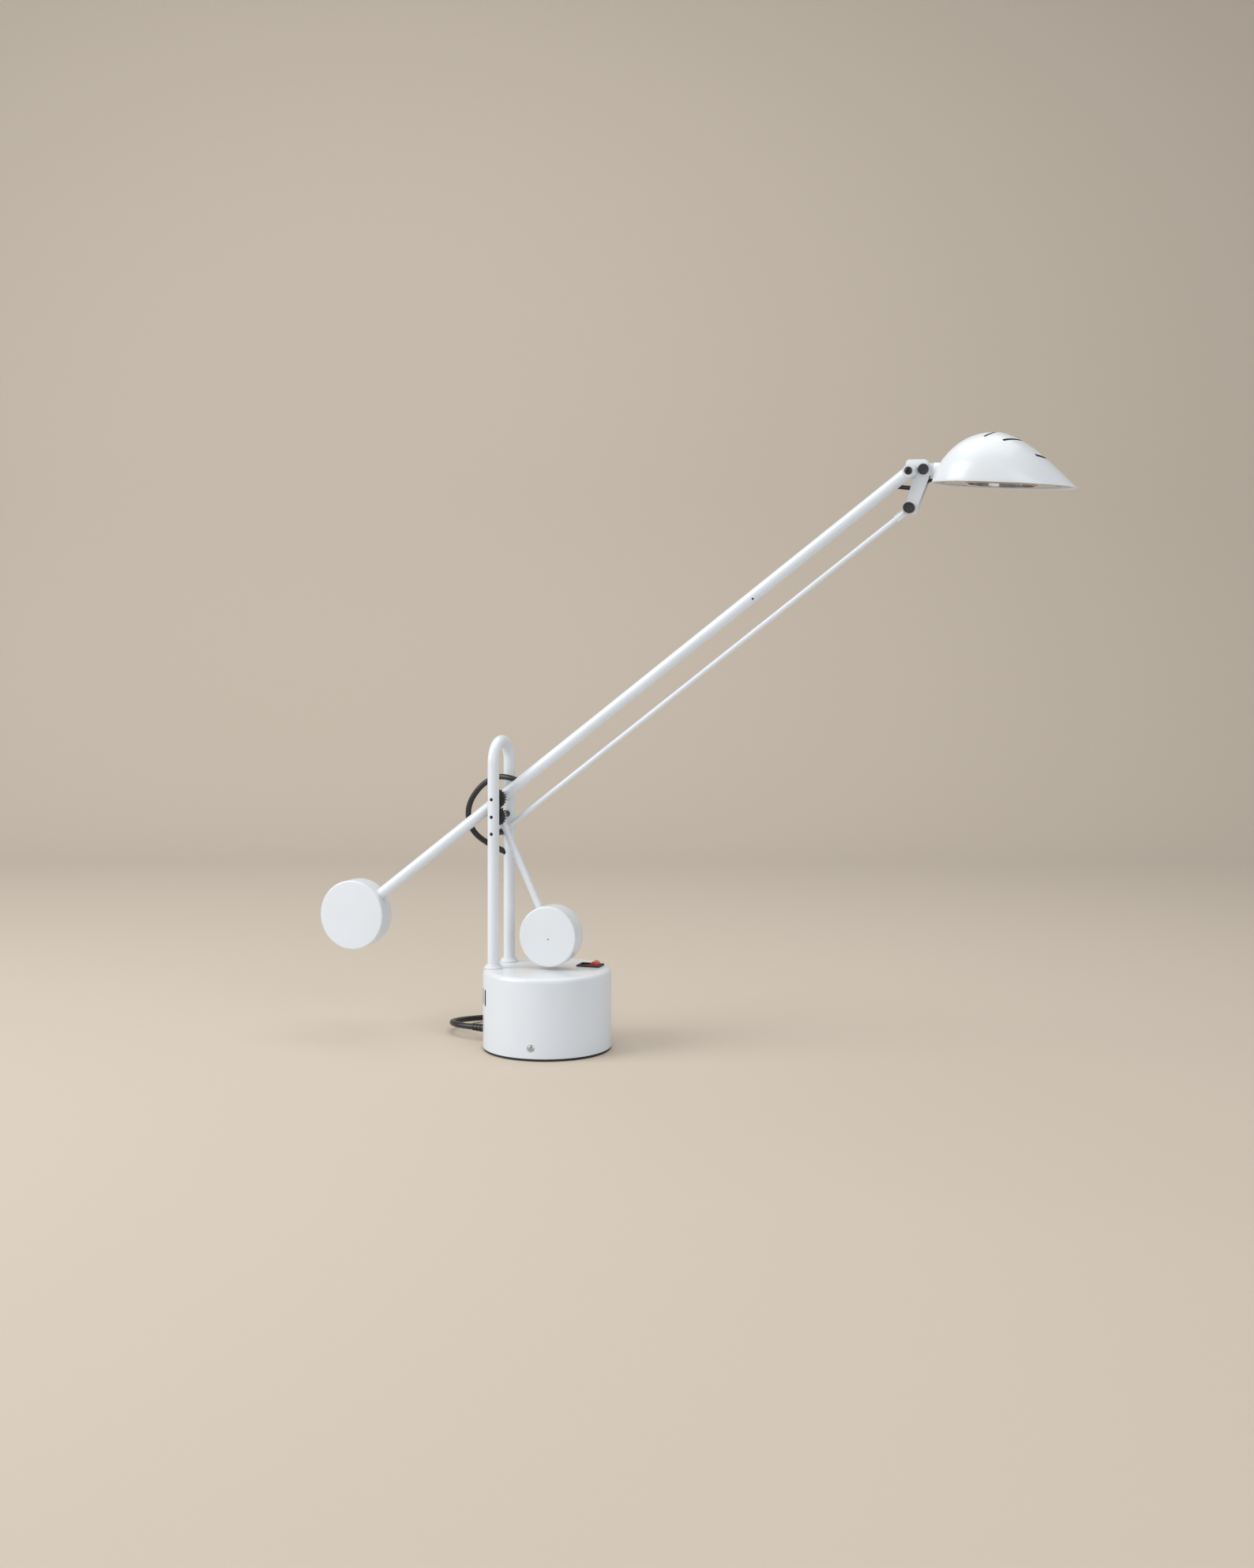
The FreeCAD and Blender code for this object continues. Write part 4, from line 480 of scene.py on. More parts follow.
def lathe(name, profile, steps=96, ribs=0, rib_depth=0.0):
    """A solid turned about Z from a closed (radius, height) outline; ribs flute its rim."""
    widest = max(p[0] for p in profile)
    rings = []
    for radius, height in profile:
        if radius < 1e-6:
            rings.append([(0, 0, height)])
            continue
        ring = []
        for k in range(steps):
            angle = 2 * math.pi * k / steps
            on_rim = radius > widest * 0.9
            flute = rib_depth * (0.5 - 0.5 * math.cos(ribs * angle)) if on_rim else 0
            r = radius - flute
            ring.append((r * math.cos(angle), r * math.sin(angle), height))
        rings.append(ring)
    return skin(name, rings)


# %% [markdown]
# Sheet pieces start as an outline between two heights, with a bevel along the rims. A modifier is
# worked out at once, so that later cuts meet the plain mesh. Bars and boxes mostly serve as drills
# and chisels.

# %% Plates, bars and boxes
def settled(thing):
    """The piece with its modifiers applied."""
    mesh = evaluated_mesh(thing)
    thing.modifiers.clear()
    thing.data = mesh
    return thing


def slab(name, corners, low, high, edge=0.0):
    """A plate from an outline in (x, y) between two heights, with its rims eased."""
    bm = bmesh.new()
    floor = [bm.verts.new((x, y, low)) for x, y in corners]
    roof = [bm.verts.new((x, y, high)) for x, y in corners]
    bm.faces.new(floor)
    bm.faces.new(roof)
    for k in range(len(corners)):
        n = (k + 1) % len(corners)
        bm.faces.new((floor[k], floor[n], roof[n], roof[k]))
    thing = mesh_object(name, bm)
    if edge:
        ease = thing.modifiers.new("ease", "BEVEL")
        ease.width, ease.segments, ease.limit_method = edge, 3, "ANGLE"
        ease.angle_limit = math.radians(50)
        settled(thing)
    return thing


def rod(name, radius, start, end, steps=48):
    """A round bar or drill between two points."""
    start, end = Vector(start), Vector(end)
    reach = (end - start).length
    thing = lathe(name, [(0, 0), (radius, 0), (radius, reach), (0, reach)], steps)
    turn = (end - start).to_track_quat("Z", "Y").to_matrix().to_4x4()
    thing.data.transform(Matrix.Translation(start) @ turn)
    return thing


def block(name, size, centre):
    """A box-shaped cutter about its centre."""
    half = Vector(size) / 2
    corners = [(-half.x, -half.y), (half.x, -half.y), (half.x, half.y), (-half.x, half.y)]
    thing = slab(name, corners, -half.z, half.z)
    thing.data.transform(Matrix.Translation(centre))
    return thing


# %% [markdown]
# Holes are cut with exact booleans. Faces left open round a drawn hole would be lighter, but a
# cut gives the wall of the hole as well, and the mesh stays closed.

# %% Cutting and joining
def merged(name, things):
    """Several meshes as one object."""
    bm = bmesh.new()
    for thing in things:
        bm.from_mesh(thing.data)
        bpy.data.objects.remove(thing)
    return mesh_object(name, bm)


def carve(thing, *cutters):
    """Cuts each cutter out of the piece, or joins it where its name ends in _add."""
    for cutter in cutters:
        step = thing.modifiers.new(cutter.name, "BOOLEAN")
        step.operation = "UNION" if cutter.name.endswith("_add") else "DIFFERENCE"
        step.solver = "EXACT"
        step.object = cutter
    settled(thing)
    for cutter in cutters:
        bpy.data.objects.remove(cutter)
    return thing


# %% [markdown]
# Each piece is made upright about its own origin and then set on its body: the stand, the arm,
# the lever or the head. It could be parented with a transform, but then its noise and its bevels
# would work in other units, so the mesh itself is moved and scaled to metres.

# %% Setting a piece in its place
LEVER_DROP = math.radians(90 - 25.2)
HEAD_DROOP = math.radians(3.3)
QUARTER_TURN = math.radians(90)
ALONG_X = Matrix.Rotation(QUARTER_TURN, 4, "Y")
ALONG_Y = Matrix.Rotation(-QUARTER_TURN, 4, "X")
AGAINST_Y = Matrix.Rotation(QUARTER_TURN, 4, "X")
HERE = Matrix.Identity(4)
ON_ARM = Matrix.Translation(UPPER_AXLE) @ Matrix.Rotation(-ARM_ANGLE, 4, "Y")
ON_LEVER = Matrix.Translation(MIDDLE_AXLE) @ Matrix.Rotation(LEVER_DROP, 4, "Y")
AT_ARM_END = Matrix.Translation(ARM_END)
IN_HEAD = Matrix.Translation(HEAD_HINGE) @ Matrix.Rotation(HEAD_DROOP, 4, "Y")


def fit(thing, place, body, finish, *nodes, like=None, crease=32):
    """Sets the piece at its place, gives it its finish and lets it stand for its nodes."""
    thing.data.transform(Matrix.Scale(MM, 4) @ place)
    for face in thing.data.polygons:
        face.use_smooth = True
    thing.data.set_sharp_from_angle(angle=math.radians(crease))
    if thing.data.materials:
        thing.data.materials[0] = finish
    else:
        thing.data.materials.append(finish)
    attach(thing, body)
    if nodes:
        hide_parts(*nodes)
    print("%s: %d faces" % (thing.name, len(thing.data.polygons)))
    return thing


# %% [markdown]
# The base is a spun cup. Its top edge is the softest line on the lamp, so the outline is rounded
# before it is turned; a bevel after the cuts would run into them. Slots for air, dimples for the
# side screws, the switch's window and the holes for the hoop are cut out after. The faces that look
# inwards get a dark finish, painted shade for the inside of the cup.

# %% Base cup
BASE_RADIUS, BASE_HEIGHT, FOOT = 55.0, 68.5, 2.0
CUP_WALL, CUP_TOP, RIM_SOFTNESS = 2, 3, 4.6
LEG_X, LEG_Y, LEG_HOLE = -42.5, 17.75, 5.05
VENTS, FIRST_VENT, VENT_PITCH, VENT_MIDDLE = 5, -141.5, 9.0, 46
SIDE_SCREWS, FIRST_SIDE_SCREW, SIDE_SCREW_HEIGHT = 3, -83, 10.5
LEAD_NOTCH = (10, 9.6, 12.8)


def around_base(thing, azimuth):
    """Swings a piece that was made at the +X side round to its own azimuth."""
    thing.data.transform(Matrix.Rotation(math.radians(azimuth), 4, "Z"))
    return thing


def line_inside(thing, finish, centre, above, slots=False):
    """Faces that look inwards, and the walls of slots, get a dark finish that paints their shade.
    """
    thing.data.materials.clear()
    for skin_finish in (WHITE, finish):
        thing.data.materials.append(skin_finish)
    for face in thing.data.polygons:
        outward = (face.center - centre).normalized()
        looks_in = face.normal.dot(outward) < 0.25
        slot_wall = slots and abs(face.normal.z) < 0.01 and face.center.z > above + 8
        face.material_index = 1 if face.center.z > above and (looks_in or slot_wall) else 0
    print("%s: %d dark faces" % (thing.name, sum(f.material_index for f in thing.data.polygons)))


cup_inside = BASE_RADIUS - CUP_WALL
cup_outline = softened([(cup_inside, FOOT), (BASE_RADIUS, FOOT), (BASE_RADIUS, BASE_HEIGHT),
                        (0, BASE_HEIGHT), (0, BASE_HEIGHT - CUP_TOP),
                        (cup_inside, BASE_HEIGHT - CUP_TOP)],
                       [0, 0.6, RIM_SOFTNESS, 0, 0, 1.5], 8)
cup = lathe("base_cup", cup_outline, 144)
cutters = [rod("leg_hole_near", LEG_HOLE, (LEG_X, -LEG_Y, 60), (LEG_X, -LEG_Y, 72)),
           rod("leg_hole_far", LEG_HOLE, (LEG_X, LEG_Y, 60), (LEG_X, LEG_Y, 72)),
           block("switch_window", (19, 13, 8), Vector((32, 20, 68)))]
for index in range(VENTS):
    ends = softened([(-1.8, -7), (1.8, -7), (1.8, 7), (-1.8, 7)], 1.6)
    vent = slab("vent_%d" % index, ends, -4, 4)
    vent.data.transform(Matrix.Translation((BASE_RADIUS, 0, VENT_MIDDLE))
                        @ Matrix.Rotation(QUARTER_TURN, 4, "Z") @ AGAINST_Y)
    cutters.append(around_base(vent, FIRST_VENT - VENT_PITCH * index))
for index in range(SIDE_SCREWS):
    dimple = lathe("dimple_%d" % index, [(0, -6), (1.55, -6), (1.55, -1), (3.2, -1), (3.6, 0.1),
                                         (3.6, 2), (0, 2)], 48)
    dimple.data.transform(Matrix.Translation((BASE_RADIUS, 0, SIDE_SCREW_HEIGHT)) @ ALONG_X)
    cutters.append(around_base(dimple, FIRST_SIDE_SCREW + 120 * index))
notch = block("lead_notch", LEAD_NOTCH, Vector((cup_inside, 0, FOOT + LEAD_NOTCH[2] / 2)))
cutters.append(around_base(notch, math.degrees(EXIT_TURN)))
carve(cup, *cutters)
# The inside of the cup gets painted shade, a dark finish where its faces look inwards.
line_inside(cup, INSIDE_SHADE, Vector((0, 0, 30)), 38)
fit(cup, HERE, "stand", WHITE, "base_shell")

# %% [markdown]
# A dark rubber disc under the base keeps it from sliding, and shows as a thin line. Its lower edge
# is eased where rubber is, so it is turned like the cup.

# %% Foot ring
foot = lathe("foot_ring", softened([(0, 0), (54.2, 0), (54.6, 2), (0, 2)], [0, 0.5, 0.4, 0]), 144)
fit(foot, HERE, "stand", FOOT_RUBBER, "foot_pad")

# %% [markdown]
# Three screws hold the cup to its tray. Each is a low dome with a crossed recess. The recess is
# two crossed bars, cut from the dome, and not an image, so that it takes light and shade.

# %% Side screws
def cross_recess(name, reach, depth, face):
    """The two crossed bars that a driver turns, cut into a face that looks along +Z."""
    bars = ((reach, 0.8, depth * 2), (0.8, reach, depth * 2))
    return [block(name + str(i), size, Vector((0, 0, face))) for i, size in enumerate(bars)]


side_screws = []
for index in range(SIDE_SCREWS):
    low_dome = [(2.9 * math.cos(a), 7.1 + 0.75 * math.sin(a)) for a in (0.2, 0.5, 0.8, 1.1, 1.35)]
    screw = lathe("side_screw_%d" % index,
                  [(0, 0), (1.5, 0), (1.5, 7), (2.9, 7)] + low_dome + [(0, 7.85)], 48)
    carve(screw, *cross_recess("side_cross_%d_" % index, 3.4, 0.9, 7.9))
    screw.data.transform(Matrix.Translation((47, 0, SIDE_SCREW_HEIGHT)) @ ALONG_X)
    side_screws.append(around_base(screw, FIRST_SIDE_SCREW + 120 * index))
fit(merged("side_screws", side_screws), HERE, "stand", ZINC, "base_screws")

# %% [markdown]
# Two stepped rings seat the hoop's legs on the base. Each is one turned outline with a wide foot
# and a narrow neck, which is simpler than two rings laid on each other and leaves no hidden faces.

# %% Collars
COLLAR = [(5.02, 0), (7.7, 0), (7.7, 1.7), (6.7, 2.0), (6.7, 3.4), (5.02, 3.4)]
rings = []
for side in (-1, 1):
    ring = lathe("collar_%d" % side, softened(COLLAR, [0, 0.3, 0.6, 0.3, 0.6, 0.2]), 72)
    ring.data.transform(Matrix.Translation((LEG_X, side * LEG_Y, BASE_HEIGHT)))
    rings.append(ring)
fit(merged("leg_collars", rings), HERE, "stand", WHITE, "hoop_collars")

# %% [markdown]
# The switch's black bezel lies on the base with its box below. The well is cut right through it,
# and a small seat on each side takes the rocker's trunnions.

# %% Switch bezel
SWITCH = Vector((32, 20, BASE_HEIGHT))
bezel_corners = softened([(-10.5, -7.5), (10.5, -7.5), (10.5, 7.5), (-10.5, 7.5)], 1.4)
bezel = slab("switch_bezel", bezel_corners, 0, 1.5, 0.5)
box_corners = [(-9.3, -6.3), (9.3, -6.3), (9.3, 6.3), (-9.3, 6.3)]
carve(bezel, slab("switch_box_add", box_corners, -18, 0.4),
      block("switch_well", (17.3, 11.3, 20), Vector((0, 0, 2))),
      rod("trunnion_seat", 1.25, (0, -6.1, -0.9), (0, 6.1, -0.9)))
fit(bezel, Matrix.Translation(SWITCH), "stand", BLACK, "switch_housing")

# %% [markdown]
# The rocker is a saddle: deepest in the middle, with the end towards the head standing up. Its
# side view holds the whole shape, so it is drawn there and given its width, as a moulder's tool
# would be cut.

# %% Rocker
SADDLE_STEPS = 14
ROCKER_LEAN = math.radians(-11)
saddle = [(4.4 - 8.4 * k / SADDLE_STEPS, 1.9 + 2.6 * (1 - k / SADDLE_STEPS) ** 2.2)
          for k in range(SADDLE_STEPS + 1)]
rocker_side = [(-7.7, 0.0), (-5.1, -3.6), (5.1, -3.6), (7.7, 0.0), (7.7, 2.8), (5.3, 4.55)]
rocker_side += saddle + [(-7.2, 2.5), (-7.7, 2.1)]
rocker = slab("rocker", rocker_side, -5.3, 5.3, 0.35)
rocker.data.transform(AGAINST_Y)
carve(rocker, rod("trunnion_add", 1.2, (0, -5.9, 0), (0, 5.9, 0)))
rocker_place = (Matrix.Translation(SWITCH + Vector((0, 0, -0.9)))
                @ Matrix.Rotation(ROCKER_LEAN, 4, "Y"))
fit(rocker, rocker_place, "rocker", RED, "switch_rocker")

# %% [markdown]
# Two turned steel discs balance the lamp. They are plain, so all depends on their edges: a tight
# round that holds one thin highlight. Each is bored for its rod and drilled for its set screw,
# because the inner pieces have to fit, and a hole that only looks like one would close on them.

# %% Weights
HALF_THICKNESS, DISC_EDGE = 10, 1.6


def weight(name, radius, centre, *drills):
    """A disc about the Y axis, cut by its drills."""
    outline = softened([(0, -HALF_THICKNESS), (radius, -HALF_THICKNESS),
                        (radius, HALF_THICKNESS), (0, HALF_THICKNESS)],
                       [0, DISC_EDGE, DISC_EDGE, 0], 6)
    disc = lathe(name, outline, 144)
    disc.data.transform(Matrix.Translation(centre) @ ALONG_Y)
    return carve(disc, *drills)


large = weight("large_disc", 30.5, Vector((-176, 0, 0)),
               rod("arm_seat", 5.02, (-159.5, 0, 0), (-140, 0, 0)),
               rod("arm_screw_hole", 1.22, (-152.5, 0, 0), (-152.5, 12, 0)))
fit(large, ON_ARM, "arm", WHITE, "arm_weight")
LEVER_SIDE = -3.4
small = weight("small_disc", 25.75, Vector((111.7, LEVER_SIDE, 0)),
               rod("lever_seat", 3.02, (60, LEVER_SIDE, 0), (117.7, LEVER_SIDE, 0)),
               rod("lever_screw_hole", 0.85, (113.9, -14.4, 0), (113.9, LEVER_SIDE, 0)))
fit(small, ON_LEVER, "lever", WHITE, "lever_weight")

# %% [markdown]
# Black knobs with fluted rims clamp the link rod and the head's hinge. The flutes are in the
# lathe's rings, since a normal map would leave the rim round in outline.

# %% Knobs
def knob(name, thickness, back, pin_length):
    """A fluted knob whose face looks at the viewer, with its pin behind; `back` is its seat."""
    radius, dish, dish_depth = 4.6, 2.9, 0.4
    outline = softened([(0, 0), (radius, 0), (radius, thickness), (3.2, thickness),
                        (dish, thickness - dish_depth), (0, thickness - dish_depth)],
                       [0, 0.3, 0.6, 0.2, 0.2, 0])
    head = lathe(name + "_head", outline, 144, ribs=20, rib_depth=0.5)
    head.data.transform(Matrix.Translation(back) @ AGAINST_Y)
    pin_end = Vector(back) + Vector((0, pin_length, 0))
    return merged(name, [head, rod(name + "_pin", 1.5, Vector(back), pin_end, 32)])


hinge_knob = knob("hinge_knob", 1.8, Vector((10, 6.6, 1.9)), 12.2)
fit(hinge_knob, AT_ARM_END, "bracket", BLACK, "head_hinge_knob")
link_knob = knob("link_knob", 7.1, Vector((0, 0.6, -29.5)), 7.8)
fit(link_knob, AT_ARM_END, "bracket", BLACK, "link_pivot_knob")

# %% [markdown]
# The arm turns on a screw with a low dome and a crossed recess, oiled black. It is made like the
# side screws, and its shank goes through the bracket's cheeks.

# %% Pivot screw
dome = [(3.2 * math.cos(a), 0.5 + 0.9 * math.sin(a)) for a in (0.0, 0.3, 0.6, 0.9, 1.2)]
pivot_head = lathe("pivot_head", [(0, 0), (3.2, 0)] + dome + [(0, 1.4)], 72)
carve(pivot_head, *cross_recess("pivot_cross_", 3.9, 0.8, 1.45))
pivot_head.data.transform(Matrix.Translation((0, -5.9, 0)) @ AGAINST_Y)
pivot_shank = rod("pivot_shank", 1.5, (0, -5.9, 0), (0, 8.4, 0), 32)
fit(merged("pivot_screw", [pivot_head, pivot_shank]), AT_ARM_END, "bracket", OXIDE,
    "arm_pivot_screw")

# %% [markdown]
# The bracket is one folded sheet, open towards the head. Its side view is a slab with soft corners;
# a narrower slab takes out the inside and leaves the two cheeks and the folded back. A solidify
# modifier on a bent plane would do too, but its corners would thin out at the folds.

# %% Bracket
bracket_side = [(-4.6, 1.5), (-4.4, 8.0), (-2.6, 10.0), (11.6, 9.8), (12.6, 8.8), (14.6, -2.0),
                (14.3, -5.2), (5.7, -27.0), (4.6, -31.7), (1.5, -34.1), (-2.6, -33.5),
                (-4.6, -30.5), (-3.3, -22.0), (0.7, -7.4), (0.3, -4.2), (-3.4, -1.6)]
channel_side = [(-3.4, 1.7), (-3.2, 7.7), (-2.0, 8.8), (8.0, 8.8), (8.0, 20), (40, 20),
                (40, -49.5), (-20, -49.5), (-20, -26.5), (-2.6, -26.5), (-2.1, -22.1),
                (1.9, -7.4), (1.5, -3.4), (-2.0, -0.6)]
CHEEKS_MIDDLE, PIN_HOLE = 11.2, 1.52
bracket = slab("bracket_sheet", softened(bracket_side, 2.0), -4.6, 4.6, 0.3)
channel = slab("channel", channel_side, -3.4, 3.4)
for sheet in (bracket, channel):
    sheet.data.transform(Matrix.Translation((0, CHEEKS_MIDDLE, 0)) @ AGAINST_Y)
way_from, way_to = Vector((-7, 8, -12.6)), Vector((3.2, CHEEKS_MIDDLE, -13.0))
way_in = way_to - way_from
carve(bracket, channel,
      rod("arm_hole", PIN_HOLE, (0, 5, 0), (0, 8.8, 0)),
      rod("link_hole", PIN_HOLE, (0, 5, -29.5), (0, 8.8, -29.5)),
      rod("hinge_hole", PIN_HOLE, (10, 5, 1.9), (10, 18, 1.9)),
      rod("lead_way", 2.2, way_from, way_from + way_in.normalized() * 12))
fit(bracket, AT_ARM_END, "bracket", WHITE, "bracket_channel")

# %% [markdown]
# The head is half an egg, blunt at the back and long at the front. Sculpting could find such a
# form, but a rule is steadier: each level is a rounded outline whose reach to the back, front and
# side falls off in its own way towards the crown.

# %% The egg's outlines
HEAD_HEIGHT, RIM, CROWN = 42.2, -10.9, 57.2
EGG_POINTS = 128
PLAN_POWER = 2.2
BACK, FRONT, SIDE = (50.0, 1.45, 0.45), (64.8, 0.9, 0.6), (42.0, 2.2, 0.4545)  # reach, fall, swell


def powered(value, power):
    """A power that keeps the sign."""
    return math.copysign(abs(value) ** power, value)


def reach_at(rule, share, inset):
    """How far the outline reaches at a share of the height."""
    reach, fall, swell = rule
    return (reach - inset) * (1 - share ** fall) ** swell


def egg(level, inset=0.0):
    """The head's outline at a level above its rim, drawn in by an inset."""
    share = min(level / (HEAD_HEIGHT - inset), 1.0)
    back, front, side = (reach_at(rule, share, inset) for rule in (BACK, FRONT, SIDE))
    ring = []
    for k in range(EGG_POINTS):
        angle = 2 * math.pi * k / EGG_POINTS
        c, s = math.cos(angle), math.sin(angle)
        reach = front if c >= 0 else back
        ring.append((CROWN + reach * powered(c, 2 / PLAN_POWER),
                     side * powered(s, 2 / PLAN_POWER), RIM + level))
    return ring


print("rim %.0f mm long" % (BACK[0] + FRONT[0]))

# %% [markdown]
# A stack of these outlines makes the outer skin, a second stack inside gives the wall, and narrow
# rings round the lip between them. A shell modifier would give an even wall too, but not this lip.
# Three crescents over the crown let the heat out; each is cut by a tall bowed slab.

# %% Head shell
HEAD_WALL = 1.6
LEVELS = 30
CRESCENT_STEPS = 24

rises = [1 - (1 - k / LEVELS) ** 2 for k in range(1, LEVELS)]
outer = [egg(0, 0.45), egg(0.15, 0.12), egg(0.5)] + [egg(HEAD_HEIGHT * rise) for rise in rises]
inner = [egg((HEAD_HEIGHT - HEAD_WALL) * rise, HEAD_WALL) for rise in reversed(rises)]
inner += [egg(0.45, HEAD_WALL), egg(0, 1.25)]
tips = [[(CROWN, 0, RIM + HEAD_HEIGHT)], [(CROWN, 0, RIM + HEAD_HEIGHT - HEAD_WALL)]]
shell = skin("egg_shell", outer + tips + inner)


def crescent(name, front, reach, bow=34.0, half_width=1.1):
    """A slot's outline bowed towards the front, as a tall cutter."""
    turn = math.asin(reach / bow)
    sweep = [turn * (2 * k / CRESCENT_STEPS - 1) for k in range(CRESCENT_STEPS + 1)]
    rim_points = [(front - bow + (bow + half_width) * math.cos(a),
                   (bow + half_width) * math.sin(a)) for a in sweep]
    rim_points += [(front - bow + (bow - half_width) * math.cos(a),
                    (bow - half_width) * math.sin(a)) for a in reversed(sweep)]
    return slab(name, rim_points, 1.8, 44)


lead_in = rod("head_lead_way", 1.6, (13, 11.2, -7.4), (22.7, 11.2, -5.1))
lead_in.data.transform(IN_HEAD.inverted() @ AT_ARM_END)
carve(shell, crescent("slot_a", 57.8, 22.0), crescent("slot_b", 77.2, 26.0),
      crescent("slot_c", 96.6, 20.0), rod("neck_way", 6.02, (2, 0, 0), (24, 0, 0)), lead_in)
# The inside of the shell and the walls of its slots get painted shade, a dark finish.
line_inside(shell, INSIDE_SHADE, Vector((CROWN, 0, RIM - 4)), RIM + 2.5, slots=True)
fit(shell, IN_HEAD, "head", WHITE, "head_shell", crease=40)

# %% [markdown]
# A polished plate closes the head from below, with a round opening for the lamp and four screws.
# It follows the shell's own outline, a little drawn in. A raised ring round the opening catches a
# bright line, as a rolled edge does.

# %% Trim plate
PANE_X, OPENING = 62, 26.3
TRIM_SCREWS = ((15.2, 0), (29.2, -24), (29.2, 24), (107.2, 0))
trim = slab("polished_trim", [(x, y) for x, y, z in egg(2.0, 1.7)], RIM + 0.8, RIM + 2.0, 0.35)
trim_holes = [rod("trim_hole_%d" % i, 2.05, (x, y, -14), (x, y, -6), 32)
              for i, (x, y) in enumerate(TRIM_SCREWS)]
lamp_opening = rod("lamp_opening", OPENING, (PANE_X, 0, -14), (PANE_X, 0, -6), 96)
carve(trim, lamp_opening, *trim_holes)
rolled_edge = softened([(26.35, 0.5), (26.35, -0.1), (28.4, -0.1), (28.8, 0.5)], 0.35)
opening_ring = lathe("opening_ring", rolled_edge, 120)
opening_ring.data.transform(Matrix.Translation((PANE_X, 0, RIM + 0.32)))
fit(merged("trim_set", [trim, opening_ring]), IN_HEAD, "head", POLISHED, "trim_plate")

# %% [markdown]
# A small dark plug fills a hole in the arm's near side, a third of the way from the head. It is
# too small for a cut, so a short pin stands a fraction proud of the tube.

# %% Small plug in the arm
plug = rod("arm_plug", 0.9, (283, -3.6, -2.0), (283, -4.65, -2.2), 24)
fit(plug, ON_ARM, "arm", OXIDE, like="arm_pivot_screw")

# %% [markdown]
# Each CAD piece that stays gets its finish here. The finishes could be set one by one, but one
# dictionary keeps finish and pieces together and shows at once that none is forgotten.

# %% Finishes on the carried-over pieces
WEARS = {
    "white_enamel": ["hoop", "cord_gland", "arm_tube", "lever_hub", "lever_rod", "link_rod",
                     "head_neck", "base_shell", "hoop_collars", "arm_weight", "lever_weight",
                     "bracket_channel", "head_shell"],
    "zinc_plate": ["base_plate", "hoop_nuts", "arm_weight_screw", "lever_weight_screw",
                   "hinge_nut", "base_screws"],
    "black_moulding": ["terminal_block", "switch_housing", "arm_gear", "lever_gear",
                       "axle_spacers", "arm_bush", "arm_end_bush", "link_pivot_knob",
                       "link_spacer", "head_hinge_knob", "plug_body", "trim_screws"],
    "black_oxide": ["arm_pivot_screw", "axle_upper", "axle_middle", "axle_lower"],
    "foot_rubber": ["foot_pad"],
    "cable_sheath": ["lead_sleeve", "plug_sleeve", "arm_inner_lead", "mains_lead", "mains_coil",
                     "arm_lead", "arm_end_lead", "head_lead"],
    "tie_strap": ["cord_tie"],
    "red_rocker": ["switch_rocker"],
    "core_sheets": ["transformer_core"],
    "copper_wire": ["transformer_winding"],
    "nickel_pins": ["plug_pins"],
    "polished_plate": ["trim_plate"],
    "reflector_bowl": ["reflector"],
    "lamp_ceramic": ["lamp_holder"],
    "cover_pane": ["cover_glass"],
    "lamp_quartz": ["halogen_capsule"],
}
for finish_name, wearers in WEARS.items():
    for node_name in wearers:
        NODES[node_name].data.materials.clear()
        NODES[node_name].data.materials.append(bpy.data.materials[finish_name])
for cable in ("mains_cable", "arm_loop_cable", "arm_end_cable", "head_cable"):
    bpy.data.objects[cable].data.materials.clear()
    bpy.data.objects[cable].data.materials.append(RUBBER)
dressed = sum(len(wearers) for wearers in WEARS.values())
print("%d of %d nodes dressed" % (dressed, len(NODES)))

# %% [markdown]
# The lamp stands on a plain, pale floor of a warm tone that bends up behind it without a seam, so
# the white pieces stand out at every height. The warm tone is for the camera, mirrors and glass;
# what the floor throws back on the white paint is a neutral grey, as from a room.

# %% Floor and backdrop
HALF_WIDTH, FRONT_EDGE, DEPTH, TOP, BEND = 4.0, -2.2, 1.9, 2.6, 0.6
BEND_STEPS = 12
THROWN_BACK, SEEN = (0.62, 0.615, 0.61), (0.645, 0.548, 0.437)


def backdrop():
    """A floor that curves up behind the lamp."""
    bm = bmesh.new()
    rows = [(FRONT_EDGE, 0.0), (DEPTH - BEND, 0.0)]
    rows += [(DEPTH - BEND + BEND * math.sin(a), BEND - BEND * math.cos(a))
             for a in (math.pi / 2 * k / BEND_STEPS for k in range(1, BEND_STEPS + 1))]
    rows.append((DEPTH, TOP))
    right = Vector((math.cos(VIEW_TURN), math.sin(VIEW_TURN), 0))
    away = Vector((-math.sin(VIEW_TURN), math.cos(VIEW_TURN), 0))
    verts = [[bm.verts.new(right * side * HALF_WIDTH + away * back + Vector((0, 0, up)))
              for side in (-1, 1)] for back, up in rows]
    for low, high in zip(verts, verts[1:]):
        bm.faces.new((low[0], low[1], high[1], high[0]))
    mesh = bpy.data.meshes.new("backdrop")
    bm.to_mesh(mesh)
    bm.free()
    for face in mesh.polygons:
        face.use_smooth = True
    thing = bpy.data.objects.new("backdrop", mesh)
    bpy.context.scene.collection.objects.link(thing)
    return thing


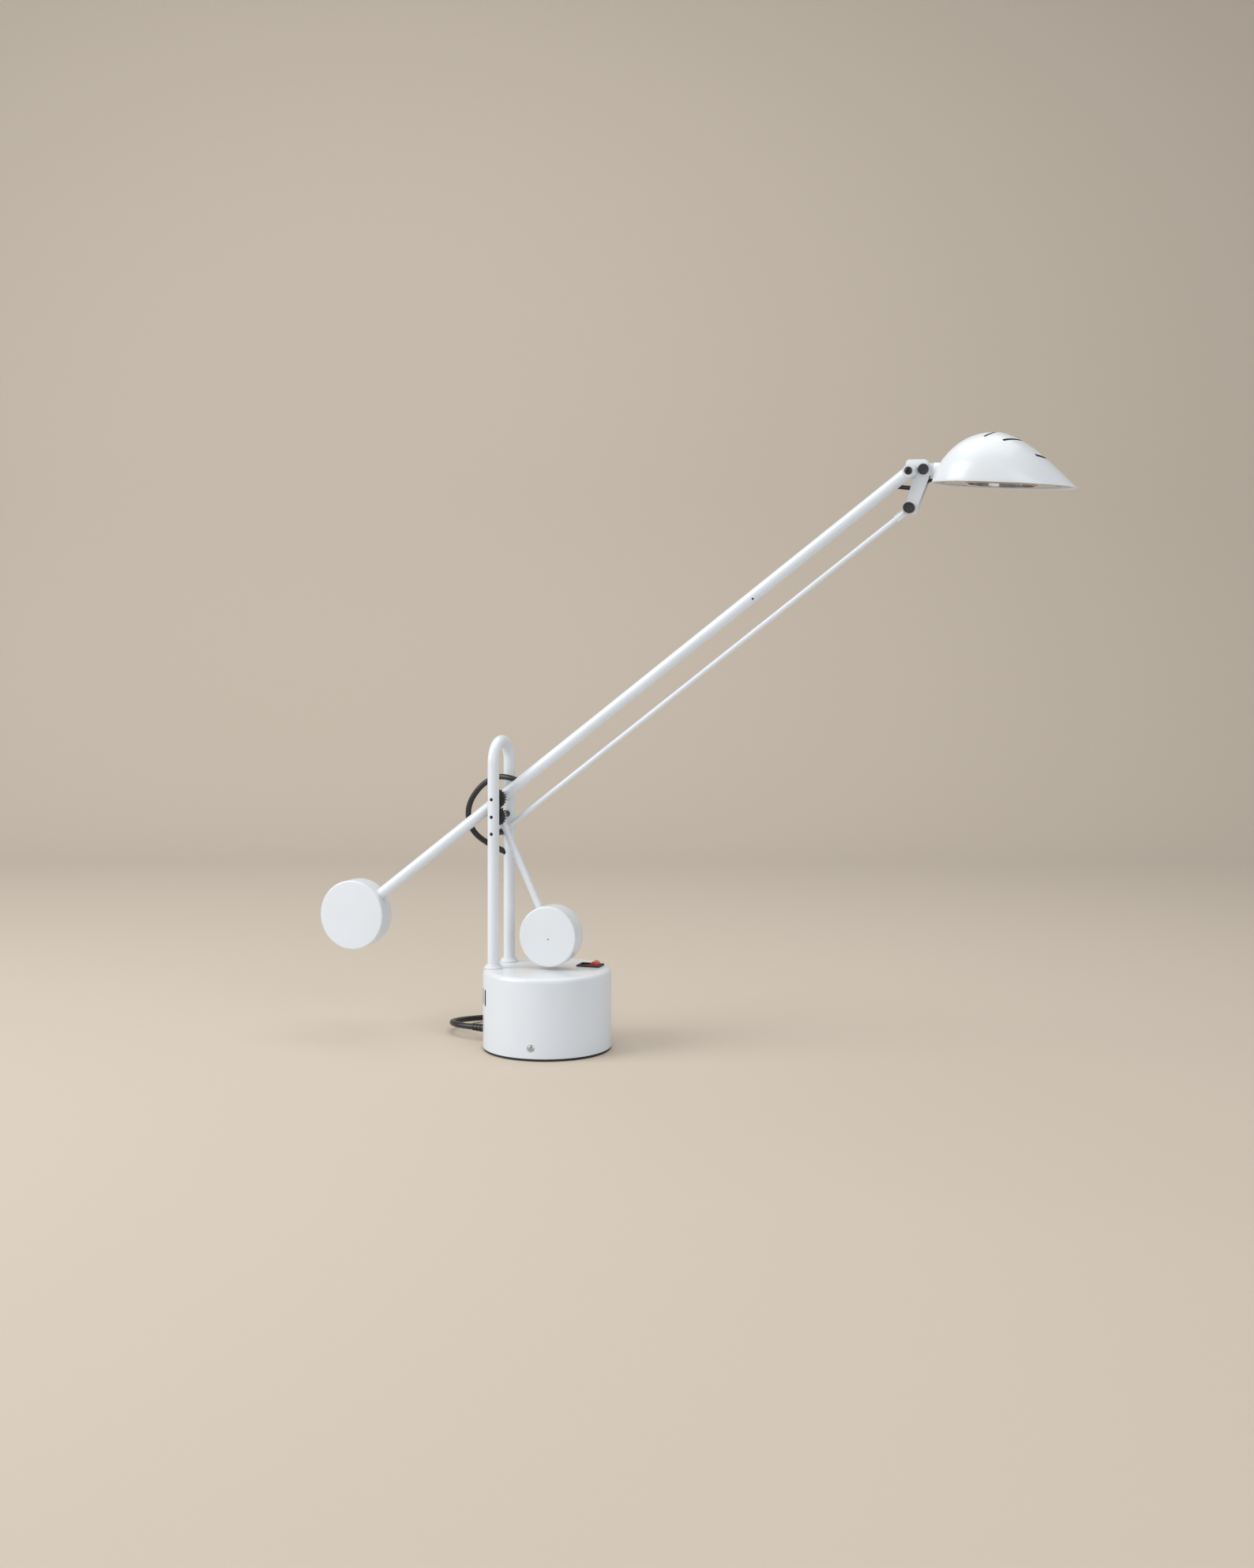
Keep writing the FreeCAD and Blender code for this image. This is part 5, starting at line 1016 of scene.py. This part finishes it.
floor_finish, floor_tree, floor_shader = new_finish("pale_floor")
rays = floor_tree.nodes.new("ShaderNodeLightPath")
seen_or_mirrored = rays.outputs["Is Camera Ray"]
for other_way in ("Is Glossy Ray", "Is Transmission Ray"):
    either = floor_tree.nodes.new("ShaderNodeMath")
    either.operation = "MAXIMUM"
    floor_tree.links.new(seen_or_mirrored, either.inputs[0])
    floor_tree.links.new(rays.outputs[other_way], either.inputs[1])
    seen_or_mirrored = either.outputs["Value"]
floor_tone = ramp(floor_tree, seen_or_mirrored, THROWN_BACK, SEEN, 0.0, 1.0)
floor_tree.links.new(floor_tone, floor_shader.inputs["Base Color"])
floor_shader.inputs["Roughness"].default_value = 0.75
floor = backdrop()
floor.data.materials.append(floor_finish)
print("floor and backdrop: %d faces" % len(floor.data.polygons))

# %% [markdown]
# Large soft lamps to the left, in front and above give broad, quiet highlights, at a level where
# each colour looks about as it is written. One lamp alone would leave the white pieces half grey,
# and small lamps would put hard spots on the enamel.

# %% Light
def soft_lamp(name, spot, target, size_m, watts, tint):
    """A large rectangle of light that looks at its target."""
    light = bpy.data.lights.new(name, "AREA")
    light.shape = "RECTANGLE"
    light.size, light.size_y = size_m
    light.energy = watts
    light.color = tint
    thing = bpy.data.objects.new(name, light)
    bpy.context.scene.collection.objects.link(thing)
    thing.location = spot
    thing.rotation_euler = (Vector(target) - Vector(spot)).to_track_quat("-Z", "Y").to_euler()


soft_lamp("window_left", (-1.6, -1.2, 1.3), (0.1, 0, 0.25), (1.6, 1.8), 36, (0.95, 0.98, 1.0))
soft_lamp("front_fill", (1.6, -1.9, 0.9), (0.1, 0, 0.25), (1.6, 1.6), 13.6, (0.93, 0.97, 1.0))
soft_lamp("overhead", (0.1, 0.1, 1.9), (0.1, 0, 0.2), (1.8, 1.8), 16.8, (0.96, 0.985, 1.0))
world = bpy.data.worlds.new("studio")
world.use_nodes = True
world.node_tree.nodes["Background"].inputs["Color"].default_value = (0.93, 0.95, 1.0, 1)
world.node_tree.nodes["Background"].inputs["Strength"].default_value = 0.38
bpy.context.scene.world = world
bpy.context.scene.view_settings.view_transform = "Standard"
print("%d lamps lit" % len(bpy.data.lights))
